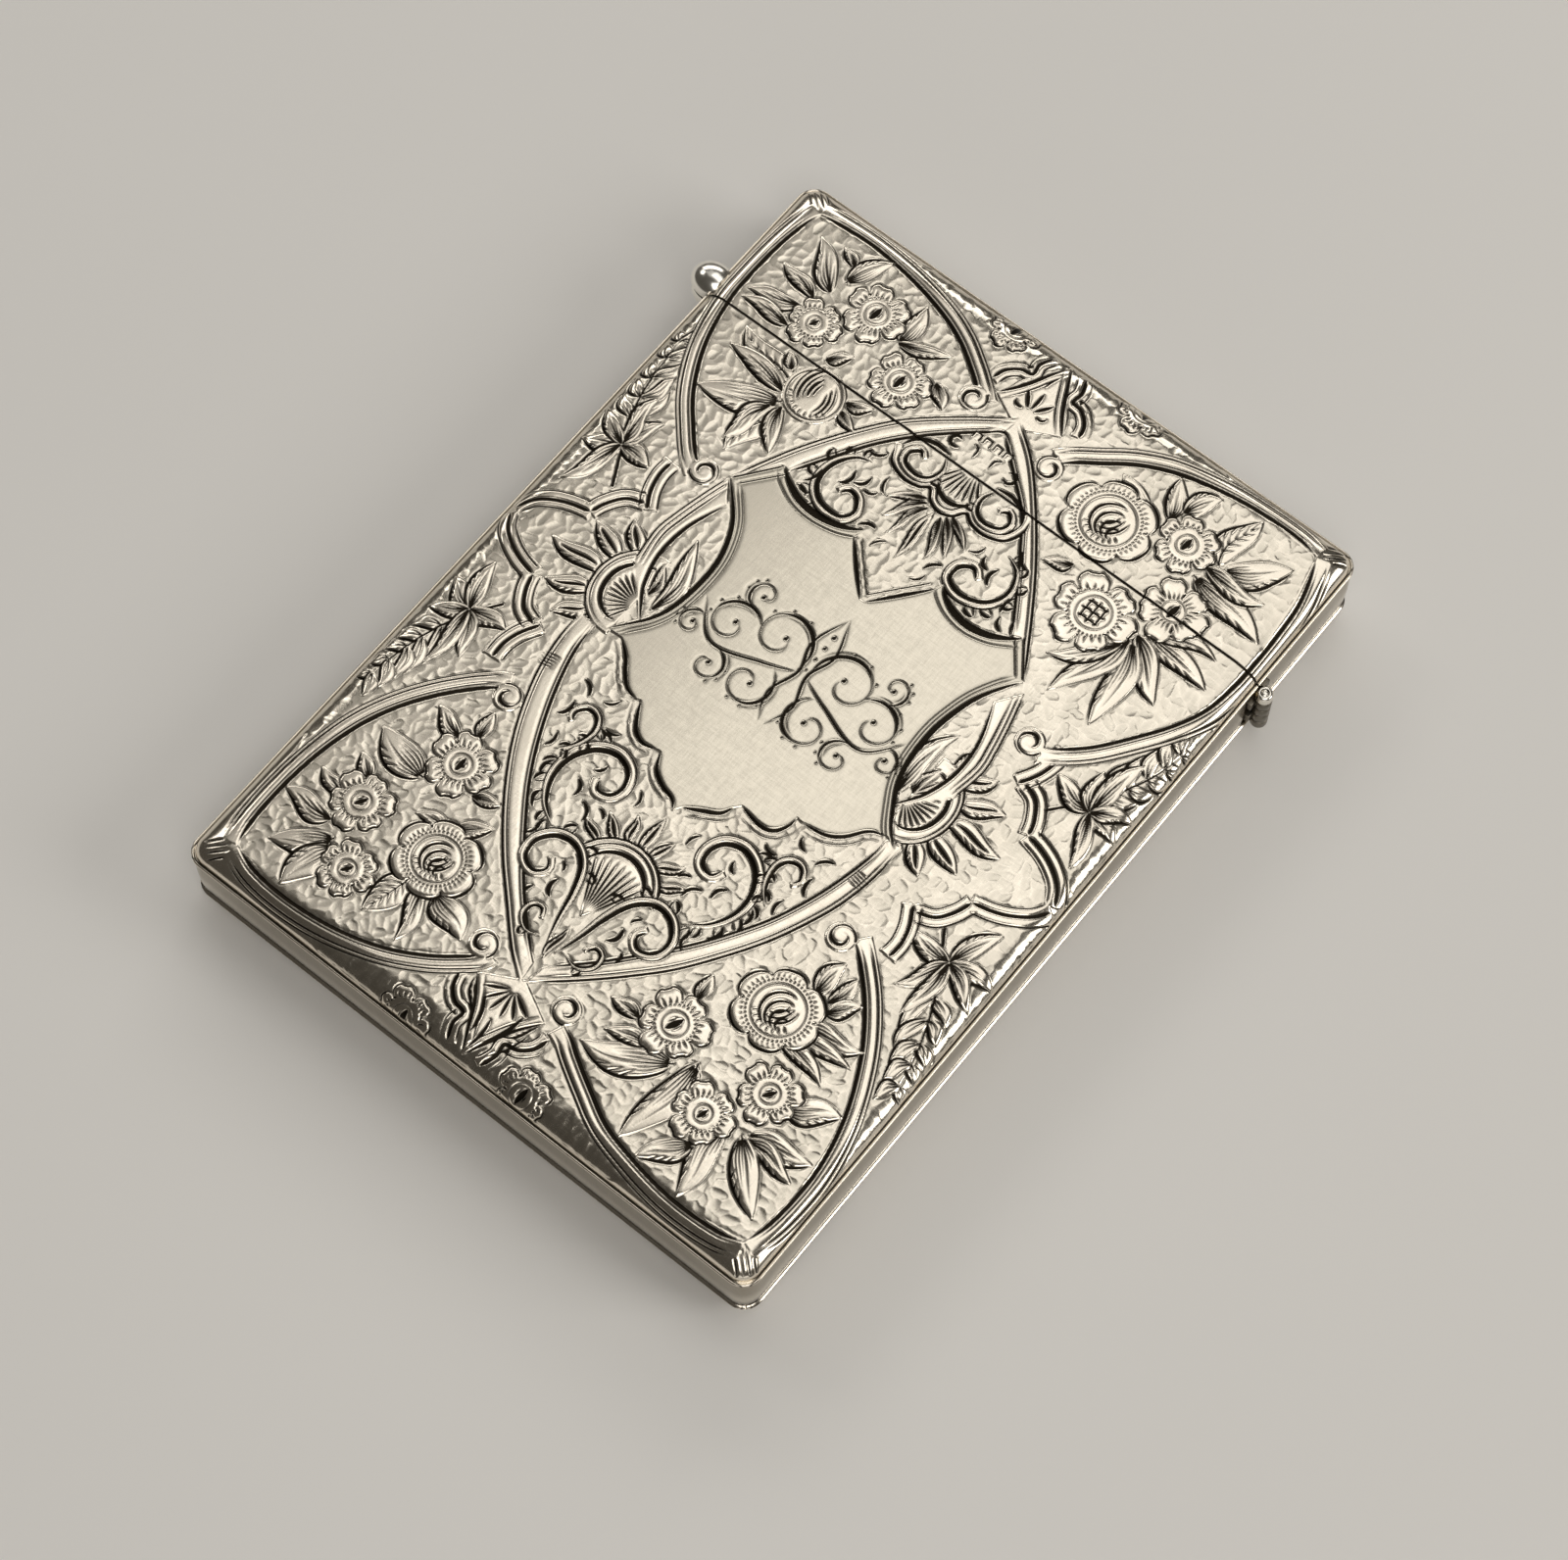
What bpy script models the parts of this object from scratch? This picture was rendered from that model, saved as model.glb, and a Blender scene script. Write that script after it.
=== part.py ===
"""Engraved silver card case: a shallow rounded box whose end swings open on a side hinge.

Frame: origin in the middle of the back face the case lies on, +Z out of the engraved
front, +Y along the length towards the lid, +X towards the hinge. Lengths in metres.
"""
import math

import bmesh
import bpy

# ---- driving dimensions -------------------------------------------------------------
LENGTH = 0.098          # overall length, along Y
WIDTH = 0.071           # overall width over the panel edges, along X
THICKNESS = 0.011       # back face to front face
SHEET = 0.0006          # silver sheet
GAP = 0.0003            # clearance kept between neighbouring pieces
PLAN_RADIUS = 0.0022    # corner radius of the outline
MARGIN = 0.0036         # width of the rounded margin of each panel
RISE = 0.0019           # height of the rounded margin
SEAM_Y = 0.0315         # where the lid meets the body
EDGE_LIP = 0.00025      # the panel edge stands this far outside the side band

HINGE_X = 0.0363        # hinge axis, parallel to Z, just outside the side wall
KNUCKLE_RADIUS = 0.0009
BORE_RADIUS = 0.00048
PIN_RADIUS = 0.0004
KNUCKLE_GAP = 0.00025
NOTCH_HALF = 0.0018     # half length of the notch in the side walls at the hinge

BEZEL_SHEET = 0.0005
BEZEL_DEPTH = 0.0075    # how far the bezel reaches down inside the body
BEZEL_PROUD = 0.0017    # how far it stands out of the mouth into the lid
BEZEL_END_X = 0.0312    # where its front and back strips stop beside the hinge

BEARER_SHEET = 0.0005
BEARER_LENGTH = 0.0060

CORNER_STEPS = 6
MARGIN_STEPS = 6

ARRIS_FRONT = THICKNESS - RISE
ARRIS_BACK = RISE
BAND_LOW = ARRIS_BACK + GAP
BAND_HIGH = ARRIS_FRONT - GAP
BAND_OUTER = WIDTH / 2 - EDGE_LIP
BAND_INNER = BAND_OUTER - SHEET
MID_Z = THICKNESS / 2

SILVER = (0.78, 0.75, 0.69, 1.0)
POLISHED = (0.88, 0.86, 0.82, 1.0)
DARK_SILVER = (0.42, 0.40, 0.36, 1.0)
GILT = (0.83, 0.67, 0.38, 1.0)


# ---- scene set-up -------------------------------------------------------------------
def clear_scene():
    for obj in list(bpy.data.objects):
        bpy.data.objects.remove(obj, do_unlink=True)


def make_collection(name):
    coll = bpy.data.collections.new(name)
    bpy.context.scene.collection.children.link(coll)
    return coll


def make_material(name, colour, roughness):
    mat = bpy.data.materials.new(name)
    mat.use_nodes = True
    shader = mat.node_tree.nodes["Principled BSDF"]
    shader.inputs["Base Color"].default_value = colour
    shader.inputs["Metallic"].default_value = 1.0
    shader.inputs["Roughness"].default_value = roughness
    mat.diffuse_color = colour
    return mat


def make_object(name, bm, coll, mat=None, smooth=35.0, parent=None):
    """Turn a bmesh in world coordinates into an object, hung from its parent empty."""
    if parent is not None:
        offset = -parent.location
        bmesh.ops.translate(bm, verts=bm.verts, vec=offset)
    mesh = bpy.data.meshes.new(name)
    bm.to_mesh(mesh)
    bm.free()
    if mat is not None:
        mesh.materials.append(mat)
    mesh.shade_smooth()
    mesh.set_sharp_from_angle(angle=math.radians(smooth))
    obj = bpy.data.objects.new(name, mesh)
    coll.objects.link(obj)
    obj.parent = parent
    return obj


def make_empty(name, location, coll):
    obj = bpy.data.objects.new(name, None)
    obj.empty_display_size = 0.004
    obj.location = location
    coll.objects.link(obj)
    return obj


def make_cutter(name, bm, coll):
    obj = make_object(name, bm, coll)
    obj.hide_render = True
    obj.display_type = "WIRE"
    return obj


def add_boolean(obj, other, operation):
    mod = obj.modifiers.new(operation.lower() + "_" + other.name, "BOOLEAN")
    mod.operation = operation
    mod.solver = "EXACT"
    mod.object = other


def add_solidify(obj, thickness):
    mod = obj.modifiers.new("sheet", "SOLIDIFY")
    mod.thickness = thickness
    mod.offset = -1.0
    mod.use_even_offset = True


def add_bevel(obj, width, segments):
    mod = obj.modifiers.new("soft_edges", "BEVEL")
    mod.width = width
    mod.segments = segments
    mod.limit_method = "ANGLE"
    mod.angle_limit = math.radians(40)


# ---- shapes -------------------------------------------------------------------------
def rounded_outline(half_w, half_l, radius):
    """Counter-clockwise points of a rectangle with round corners."""
    points = []
    for quarter, (sx, sy) in enumerate([(1, 1), (-1, 1), (-1, -1), (1, -1)]):
        cx = sx * (half_w - radius)
        cy = sy * (half_l - radius)
        for step in range(CORNER_STEPS + 1):
            angle = math.pi / 2 * (quarter + step / CORNER_STEPS)
            points.append((cx + radius * math.cos(angle), cy + radius * math.sin(angle)))
    return points


def margin_point(phi, depth=0.0):
    """Inset and height above the arris on the margin's quarter ellipse, offset inwards."""
    normal = (-math.cos(phi) / MARGIN, math.sin(phi) / RISE)
    size = math.hypot(normal[0], normal[1])
    inset = MARGIN * (1 - math.cos(phi)) - depth * normal[0] / size
    height = RISE * math.sin(phi) - depth * normal[1] / size
    return inset, height


def loft(bm, rings, close=True):
    """Join rings of equal length with quads and return the vertex rings."""
    made = [[bm.verts.new(co) for co in ring] for ring in rings]
    count = len(rings[0])
    last = count if close else count - 1
    for low, high in zip(made, made[1:]):
        for i in range(last):
            j = (i + 1) % count
            bm.faces.new((low[i], low[j], high[j], high[i]))
    return made


def keep_beyond(bm, y, keep_above):
    """Cut an open surface at a plane across the length and drop one side."""
    geom = bm.verts[:] + bm.edges[:] + bm.faces[:]
    normal = (0, -1, 0) if keep_above else (0, 1, 0)
    bmesh.ops.bisect_plane(bm, geom=geom, plane_co=(0, y, 0), plane_no=normal,
                           clear_outer=True, dist=1e-7)


def panel_surface(front, lid):
    """Outer skin of a panel: flat field, rounded margin, edge at the arris."""
    rings = []
    for step in range(MARGIN_STEPS + 1):
        phi = math.pi / 2 * step / MARGIN_STEPS
        inset, height = margin_point(phi)
        radius = max(PLAN_RADIUS - 0.8 * inset, 0.0004)
        z = ARRIS_FRONT + height if front else ARRIS_BACK - height
        outline = rounded_outline(WIDTH / 2 - inset, LENGTH / 2 - inset, radius)
        rings.append([(x, y, z) for x, y in outline])
    bm = bmesh.new()
    made = loft(bm, rings)
    bm.faces.new(made[-1])
    if not front:
        bmesh.ops.reverse_faces(bm, faces=bm.faces[:])
    edge = SEAM_Y + GAP / 2 if lid else SEAM_Y - GAP / 2
    keep_beyond(bm, edge, lid)
    return bm


def band_surface(lid):
    """Outer skin of the side band: the outline drawn straight up between the arrises."""
    outline = rounded_outline(BAND_OUTER, LENGTH / 2 - EDGE_LIP, PLAN_RADIUS - EDGE_LIP)
    bm = bmesh.new()
    loft(bm, [[(x, y, z) for x, y in outline] for z in (BAND_LOW, BAND_HIGH)])
    edge = SEAM_Y + GAP / 2 if lid else SEAM_Y - GAP / 2
    keep_beyond(bm, edge, lid)
    return bm


def bezel_section():
    """Open section of the bezel in X and Z, from the front strip round to the back one."""
    depth = SHEET + GAP
    wall = BAND_INNER - GAP
    corner = []
    for step in range(MARGIN_STEPS + 1):
        phi = math.pi / 2 * (1 - step / MARGIN_STEPS)
        inset, height = margin_point(phi, depth)
        x = min(WIDTH / 2 - inset, wall)
        corner.append((-x, ARRIS_FRONT + height))
    section = [(BEZEL_END_X, corner[0][1])] + corner
    lower = [(x, THICKNESS - z) for x, z in reversed(section)]
    return section + lower


def bezel_surface():
    section = bezel_section()
    y0 = SEAM_Y - BEZEL_DEPTH
    y1 = SEAM_Y + BEZEL_PROUD
    bm = bmesh.new()
    loft(bm, [[(x, y, z) for x, z in section] for y in (y1, y0)], close=False)
    return bm


def box(x0, x1, y0, y1, z0, z1):
    bm = bmesh.new()
    bmesh.ops.create_cube(bm, size=1.0)
    bmesh.ops.scale(bm, verts=bm.verts, vec=(x1 - x0, y1 - y0, z1 - z0))
    centre = ((x0 + x1) / 2, (y0 + y1) / 2, (z0 + z1) / 2)
    bmesh.ops.translate(bm, verts=bm.verts, vec=centre)
    return bm


def upright_cylinder(radius, z0, z1, segments=24):
    bm = bmesh.new()
    bmesh.ops.create_cone(bm, cap_ends=True, segments=segments, radius1=radius,
                          radius2=radius, depth=z1 - z0)
    bmesh.ops.translate(bm, verts=bm.verts, vec=(HINGE_X, SEAM_Y, (z0 + z1) / 2))
    return bm


def lobe(centre, radii, grow=0.0):
    bm = bmesh.new()
    bmesh.ops.create_uvsphere(bm, u_segments=20, v_segments=12, radius=1.0)
    scale = [r + grow for r in radii]
    bmesh.ops.scale(bm, verts=bm.verts, vec=scale)
    bmesh.ops.translate(bm, verts=bm.verts, vec=centre)
    return bm


# ---- pieces -------------------------------------------------------------------------
THUMB_LOBES = [
    ((-0.0362, 0.0337, 0.0084), (0.0022, 0.0020, 0.0018)),
    ((-0.0363, 0.0335, 0.0064), (0.0019, 0.0017, 0.0016)),
]
THUMB_BACK_X = -0.03495


def build_shells(parts, cutters, mats, parents):
    """Front panel, back panel and side band of the body and of the lid."""
    notch = make_cutter("hinge_notch", box(0.0335, 0.0380, SEAM_Y - NOTCH_HALF,
                        SEAM_Y + NOTCH_HALF, 0.0, THICKNESS), cutters)
    seats = []
    for index, (centre, radii) in enumerate(THUMB_LOBES):
        seats.append(make_cutter("thumb_seat_%d" % index, lobe(centre, radii, GAP), cutters))
    for side, is_lid in (("body", False), ("lid", True)):
        shells = []
        for face, is_front in (("front", True), ("back", False)):
            obj = make_object("%s_%s_panel" % (side, face), panel_surface(is_front, is_lid),
                              parts, mats["silver"], 50.0, parents[side])
            add_solidify(obj, SHEET)
            shells.append(obj)
        band = make_object(side + "_side_band", band_surface(is_lid), parts,
                           mats["silver"], 35.0, parents[side])
        add_solidify(band, SHEET)
        add_boolean(band, notch, "DIFFERENCE")
        if is_lid:
            for seat in seats:
                add_boolean(shells[0], seat, "DIFFERENCE")
                add_boolean(band, seat, "DIFFERENCE")


def build_bezel(parts, mats, parents):
    obj = make_object("mouth_bezel", bezel_surface(), parts, mats["gilt"], 50.0,
                      parents["body"])
    add_solidify(obj, BEZEL_SHEET)


def build_bearers(parts, mats, parents):
    """Stiffening plates inside the side walls, beside the hinge."""
    x1 = BAND_INNER - GAP
    x0 = x1 - BEARER_SHEET
    body_end = SEAM_Y - GAP / 2
    lid_start = SEAM_Y + BEZEL_PROUD + GAP
    spans = {"body": (body_end - BEARER_LENGTH, body_end),
             "lid": (lid_start, lid_start + BEARER_LENGTH)}
    for side, (y0, y1) in spans.items():
        bm = box(x0, x1, y0, y1, BAND_LOW, BAND_HIGH)
        obj = make_object(side + "_hinge_bearer", bm, parts, mats["gilt"], 35.0, parents[side])
        add_bevel(obj, 0.00012, 2)


def knuckle(name, side, z0, z1, parts, cutters, bore, mat, parent):
    """A length of hinge tube with a foot that reaches into the notch of its wall."""
    way = 1 if side == "lid" else -1
    near = SEAM_Y + way * 0.0005
    far = SEAM_Y + way * (NOTCH_HALF - GAP)
    foot_x0 = BAND_INNER + 0.00015
    foot_bm = box(foot_x0, HINGE_X - 0.0004, min(near, far), max(near, far), z0, z1)
    foot = make_cutter(name + "_foot", foot_bm, cutters)
    tube_bm = upright_cylinder(KNUCKLE_RADIUS, z0, z1)
    obj = make_object(name, tube_bm, parts, mat, 35.0, parent)
    add_boolean(obj, foot, "UNION")
    add_boolean(obj, bore, "DIFFERENCE")


def build_hinge(parts, cutters, mats, parents):
    names = ["lid_hinge_knuckle_bottom", "body_hinge_knuckle_lower",
             "lid_hinge_knuckle_middle", "body_hinge_knuckle_upper",
             "lid_hinge_knuckle_top"]
    bore = make_cutter("hinge_bore", upright_cylinder(BORE_RADIUS, -0.001, THICKNESS + 0.001),
                       cutters)
    height = (BAND_HIGH - BAND_LOW - 4 * KNUCKLE_GAP) / 5
    for index, name in enumerate(names):
        z0 = BAND_LOW + index * (height + KNUCKLE_GAP)
        side = name.split("_")[0]
        knuckle(name, side, z0, z0 + height, parts, cutters, bore, mats["polished"],
                parents[side])
    pin = upright_cylinder(PIN_RADIUS, BAND_LOW, BAND_HIGH)
    make_object("hinge_pin", pin, parts, mats["dark"], 35.0, parents["body"])


def build_thumb_piece(parts, cutters, mats, parents):
    """Two rounded lobes in one bead, flat behind where it is soldered to the lid."""
    upper, lower = [lobe(centre, radii) for centre, radii in THUMB_LOBES]
    obj = make_object("thumb_piece", upper, parts, mats["polished"], 60.0, parents["lid"])
    add_boolean(obj, make_cutter("thumb_lower_lobe", lower, cutters), "UNION")
    behind = make_cutter("thumb_back_cut", box(THUMB_BACK_X, -0.030, 0.028, 0.040, 0.0, 0.014),
                         cutters)
    add_boolean(obj, behind, "DIFFERENCE")


def main():
    clear_scene()
    parts = make_collection("card_case")
    cutters = make_collection("cutters")
    mats = {
        "silver": make_material("silver", SILVER, 0.28),
        "polished": make_material("polished_silver", POLISHED, 0.16),
        "dark": make_material("dark_silver", DARK_SILVER, 0.35),
        "gilt": make_material("gilt", GILT, 0.3),
    }
    parents = {
        "body": make_empty("case_body_frame", (0, 0, 0), parts),
        "lid": make_empty("lid_hinge_axis", (HINGE_X, SEAM_Y, MID_Z), parts),
    }
    bpy.context.view_layer.update()
    build_shells(parts, cutters, mats, parents)
    build_bezel(parts, mats, parents)
    build_bearers(parts, mats, parents)
    build_hinge(parts, cutters, mats, parents)
    build_thumb_piece(parts, cutters, mats, parents)
    bpy.context.view_layer.update()


main()
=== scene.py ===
"""Looks of the engraved silver card case. Engraving is laid out in millimetres on the
face, origin in its middle, x towards the hinge and y towards the lid."""

import math
import random

import bmesh
import bpy
import numpy as np
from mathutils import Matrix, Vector


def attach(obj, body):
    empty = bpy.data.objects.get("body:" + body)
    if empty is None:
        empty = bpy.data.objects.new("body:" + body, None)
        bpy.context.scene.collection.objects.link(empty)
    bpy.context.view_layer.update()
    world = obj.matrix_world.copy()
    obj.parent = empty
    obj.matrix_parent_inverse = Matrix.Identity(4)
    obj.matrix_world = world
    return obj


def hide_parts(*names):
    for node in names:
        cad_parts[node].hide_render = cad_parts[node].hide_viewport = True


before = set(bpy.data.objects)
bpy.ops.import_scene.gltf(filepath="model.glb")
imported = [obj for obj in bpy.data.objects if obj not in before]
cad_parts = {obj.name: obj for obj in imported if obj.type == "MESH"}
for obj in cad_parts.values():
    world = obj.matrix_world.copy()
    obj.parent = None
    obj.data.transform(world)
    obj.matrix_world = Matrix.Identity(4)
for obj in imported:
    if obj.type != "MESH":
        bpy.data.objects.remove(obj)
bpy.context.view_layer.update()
random.seed(11)
MM = 0.001
HALF_W, HALF_L = 35.5, 49.0  # of the face, out to its arris
THICKNESS, ARRIS = 11.0, 9.1  # of the case, and height of the front arris
MARGIN = 3.6  # width of the convex margin
MARGIN_FOOT, MARGIN_RISE = 0.14, 1.7  # where it starts above the arris, and how far it climbs
SHEET = 0.55  # thickness of the metal
SEAM, SEAM_GAP = 31.5, 0.08  # where the lid begins, and half the gap there
HINGE_X, HINGE_Y, HINGE_LOW, HINGE_HIGH = 36.3, 31.5, 2.2, 8.8  # axis, ends of the barrel
STEP = 0.095  # grid of the engraved front
BACK_STEP = 0.3
CURVE_STEP = 0.3  # between the points of a drawn curve
VIEW_AZIMUTH, VIEW_ELEVATION = 38.93, 66.47  # of the camera, in degrees
VIEW_TARGET, VIEW_DISTANCE = (2.725, -2.918, 0.15), 0.4193  # in mm, and in metres
FOCAL_LENGTH = 95.7


# ---- curves ---------------------------------------------------------------------------
def pairs(*values):
    """Points from a flat list x, y, x, y and so on."""
    return [(values[i], values[i + 1]) for i in range(0, len(values), 2)]


def spline(points):
    """Dense polyline through the points, as a Catmull-Rom curve."""
    p = [np.array(q, float) for q in points]
    if len(p) < 3:
        return [tuple(q) for q in p]
    p = [2 * p[0] - p[1]] + p + [2 * p[-1] - p[-2]]
    out = [tuple(p[1])]
    for a, b, c, d in zip(p, p[1:], p[2:], p[3:]):
        count = max(2, int(math.dist(b, c) / CURVE_STEP))
        for k in range(1, count + 1):
            t = k / count
            q = 0.5 * (2 * b + (c - a) * t + (2 * a - 5 * b + 4 * c - d) * t * t
                       + (3 * b - a - 3 * c + d) * t ** 3)
            out.append(tuple(q))
    return out


def shifted(line, side):
    """The polyline moved sideways, to its left for a positive side."""
    out = []
    for i, (x, y) in enumerate(line):
        a, b = line[max(i - 1, 0)], line[min(i + 1, len(line) - 1)]
        dx, dy = b[0] - a[0], b[1] - a[1]
        size = math.hypot(dx, dy) or 1.0
        out.append((x - dy / size * side, y + dx / size * side))
    return out


def bow(a, b, bend, count=8):
    """Points of a bowed line from a to b; bend is its height over its length."""
    dx, dy = b[0] - a[0], b[1] - a[1]
    return [(a[0] + dx * t - dy * bend * 4 * t * (1 - t),
             a[1] + dy * t + dx * bend * 4 * t * (1 - t))
            for t in (k / count for k in range(count + 1))]


def arc(x, y, radius, start, end, shrink=1.0, count=None):
    """Arc or spiral in degrees; shrink is the end radius over the start radius."""
    count = count or max(8, int(abs(end - start) / 12))
    out = []
    for k in range(count + 1):
        t = k / count
        angle = math.radians(start + (end - start) * t)
        r = radius * (1 + (shrink - 1) * t)
        out.append((x + r * math.cos(angle), y + r * math.sin(angle)))
    return out


# ---- the plate ------------------------------------------------------------------------
TAPERS = {
    "none": lambda t: np.ones_like(t),
    "both": lambda t: np.sin(np.pi * np.clip(t, 0, 1)) ** 0.65,
    "tail": lambda t: np.clip(1 - t, 0, 1) ** 0.6,
    "ends": lambda t: np.clip(np.minimum(t, 1 - t) * 12, 0, 1),
}


class Plate:
    """A grid of points on the metal and what the graver has done to it."""

    def __init__(self, xs, ys, gx, gy):
        self.xs, self.ys, self.gx, self.gy = xs, ys, gx, gy
        self.relief = np.zeros(gx.shape)
        self.groove = np.zeros(gx.shape)
        self.ground = np.ones(gx.shape)
        # also the mask of the plain shield, which the material darkens as painted shade
        self.plain = np.zeros(gx.shape)

    def window(self, points, pad):
        """The part of the grid within that distance of the points, as slices."""
        px = [p[0] for p in points]
        py = [p[1] for p in points]
        i0, i1 = np.searchsorted(self.xs, (min(px) - pad, max(px) + pad))
        j0, j1 = np.searchsorted(self.ys, (min(py) - pad, max(py) + pad))
        if i1 <= i0 or j1 <= j0:
            return None
        return slice(j0, j1), slice(i0, i1)

    def measure(self, line, pad):
        """Distance to a polyline, and how far along it, for the points near it."""
        win = self.window(line, pad)
        if win is None:
            return None
        gx, gy = self.gx[win], self.gy[win]
        xs, ys = self.xs[win[1]], self.ys[win[0]]
        dist = np.full(gx.shape, 9.0)
        along = np.zeros(gx.shape)
        spans = [math.dist(a, b) for a, b in zip(line, line[1:])]
        total = sum(spans) or 1.0
        done = 0.0
        for (x0, y0), (x1, y1), span in zip(line, line[1:], spans):
            i0, i1 = np.searchsorted(xs, (min(x0, x1) - pad, max(x0, x1) + pad))
            j0, j1 = np.searchsorted(ys, (min(y0, y1) - pad, max(y0, y1) + pad))
            if i1 > i0 and j1 > j0 and span > 0:
                sub = (slice(j0, j1), slice(i0, i1))
                px, py = gx[sub] - x0, gy[sub] - y0
                dx, dy = x1 - x0, y1 - y0
                t = np.clip((px * dx + py * dy) / (span * span), 0, 1)
                d = np.hypot(px - t * dx, py - t * dy)
                closer = d < dist[sub]
                dist[sub] = np.where(closer, d, dist[sub])
                along[sub] = np.where(closer, (done + span * t) / total, along[sub])
            done += span
        return win, dist, along

    def cut(self, points, width, taper="both", dark=1.0):
        """Engraves a curve through the points, of that width in mm."""
        self.trace(spline(points), width, taper, dark)

    def trace(self, line, width, taper="both", dark=1.0):
        """Engraves the polyline as it is."""
        found = self.measure(line, 0.6 * width + 0.14)
        if found is None:
            return
        win, dist, along = found
        half = 0.6 * width * TAPERS[taper](along)
        edge = np.clip((half + 0.07 - dist) / 0.14, 0, 1)
        amount = edge * edge * (3 - 2 * edge) * np.clip(half / 0.07, 0, 1) * dark
        self.groove[win] = np.maximum(self.groove[win], amount)

    def dot(self, x, y, radius, dark=1.0):
        """A round punch mark."""
        win = self.window([(x, y)], radius + 0.1)
        if win is None:
            return
        dist = np.hypot(self.gx[win] - x, self.gy[win] - y)
        edge = np.clip((radius + 0.05 - dist) / 0.1, 0, 1) * dark
        self.groove[win] = np.maximum(self.groove[win], edge)

    def fill(self, outline, level=0.0, dome=0.0, reach=0.5, plain=0.0):
        """Dresses the inside of a closed outline, burying what was cut there before."""
        closed = list(outline) + [outline[0]]
        found = self.measure(closed, reach)
        if found is None:
            return
        win, dist, _ = found
        gx, gy = self.gx[win], self.gy[win]
        inside = np.zeros(gx.shape, bool)
        for (x0, y0), (x1, y1) in zip(closed, closed[1:]):
            if y0 != y1:
                across = (y0 > gy) != (y1 > gy)
                inside ^= across & (gx < (x1 - x0) * (gy - y0) / (y1 - y0) + x0)
        mask = np.clip(0.5 + np.where(inside, dist, -dist) / 0.12, 0, 1)
        swell = np.clip(dist / reach, 0, 1)
        lift = level + dome * np.where(inside, np.sqrt(swell), 0)
        self.groove[win] *= 1 - mask
        self.ground[win] *= 1 - mask
        self.plain[win] = self.plain[win] * (1 - mask) + plain * mask
        self.relief[win] = self.relief[win] * (1 - mask) + lift * mask

    def band(self, points, side, width, lines):
        """A smooth ribbon to one side of a line, with lines (offset, width) along it."""
        line = spline(points)
        self.fill(line + shifted(line, side * width)[::-1], 0.02)
        for offset, thick in lines:
            self.trace(shifted(line, side * offset), thick, "ends")

    def scoops(self):
        """The tooled ground: short overlapping scoops, shallow and set at random."""
        cell = 1.05
        gi = np.floor(self.gx / cell).astype(int)
        gj = np.floor(self.gy / cell).astype(int)
        best = np.full(self.gx.shape, 9.0)
        tone = np.zeros(self.gx.shape)

        def chance(i, j, k):
            v = np.sin(i * 127.1 + j * 311.7 + k * 74.7) * 43758.5453
            return v - np.floor(v)

        for di in (-1, 0, 1):
            for dj in (-1, 0, 1):
                ci, cj = gi + di, gj + dj
                px = self.gx / cell - ci - 0.15 - 0.7 * chance(ci, cj, 1)
                py = self.gy / cell - cj - 0.15 - 0.7 * chance(ci, cj, 2)
                turn = chance(ci, cj, 3) * math.pi
                u = px * np.cos(turn) + py * np.sin(turn)
                v = py * np.cos(turn) - px * np.sin(turn)
                d = np.hypot(u * 0.65, v * 1.4)
                nearer = d < best
                tone = np.where(nearer, chance(ci, cj, 4), tone)
                best = np.where(nearer, d, best)
        wave = 0.5 + 0.5 * np.sin(self.gx * 0.9 + 1.3 * np.sin(self.gy * 0.7)) \
            * np.sin(self.gy * 0.8 + 1.1 * np.sin(self.gx * 0.6))
        cup = 1 - np.minimum(best / 0.78, 1) ** 2
        return cup * (0.3 + 0.7 * tone), np.clip(0.25 + 0.5 * tone + 0.5 * wave, 0, 1) * cup

    def soften(self, values, cells):
        """The values blurred by about that many cells of the grid."""
        weights = [math.exp(-0.5 * (k / cells) ** 2) for k in range(-5, 6)]
        for axis in (0, 1):
            values = sum(w * np.roll(values, k - 5, axis) for k, w in enumerate(weights))
            values = values / sum(weights)
        return values


# ---- motifs ---------------------------------------------------------------------------
def ray(p, x, y, angle, start, end, width, taper="tail"):
    """A straight cut along a radius, between two distances from the middle."""
    c, s = math.cos(angle), math.sin(angle)
    p.cut([(x + c * start, y + s * start), (x + c * end, y + s * end)], width, taper)


def fan(p, x, y, inner, outer, start, end, count, width):
    """Radial cuts between two radii and two directions in degrees."""
    for k in range(count):
        angle = math.radians(start + (end - start) * k / (count - 1))
        ray(p, x, y, angle, inner, outer, width, "both")


def dot_ring(p, x, y, radius, pitch):
    """A ring of punched dots, that pitch apart."""
    count = int(2 * math.pi * radius / pitch)
    for k in range(count):
        a = 2 * math.pi * k / count
        p.dot(x + radius * math.cos(a), y + radius * math.sin(a), 0.1, 0.9)


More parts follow.
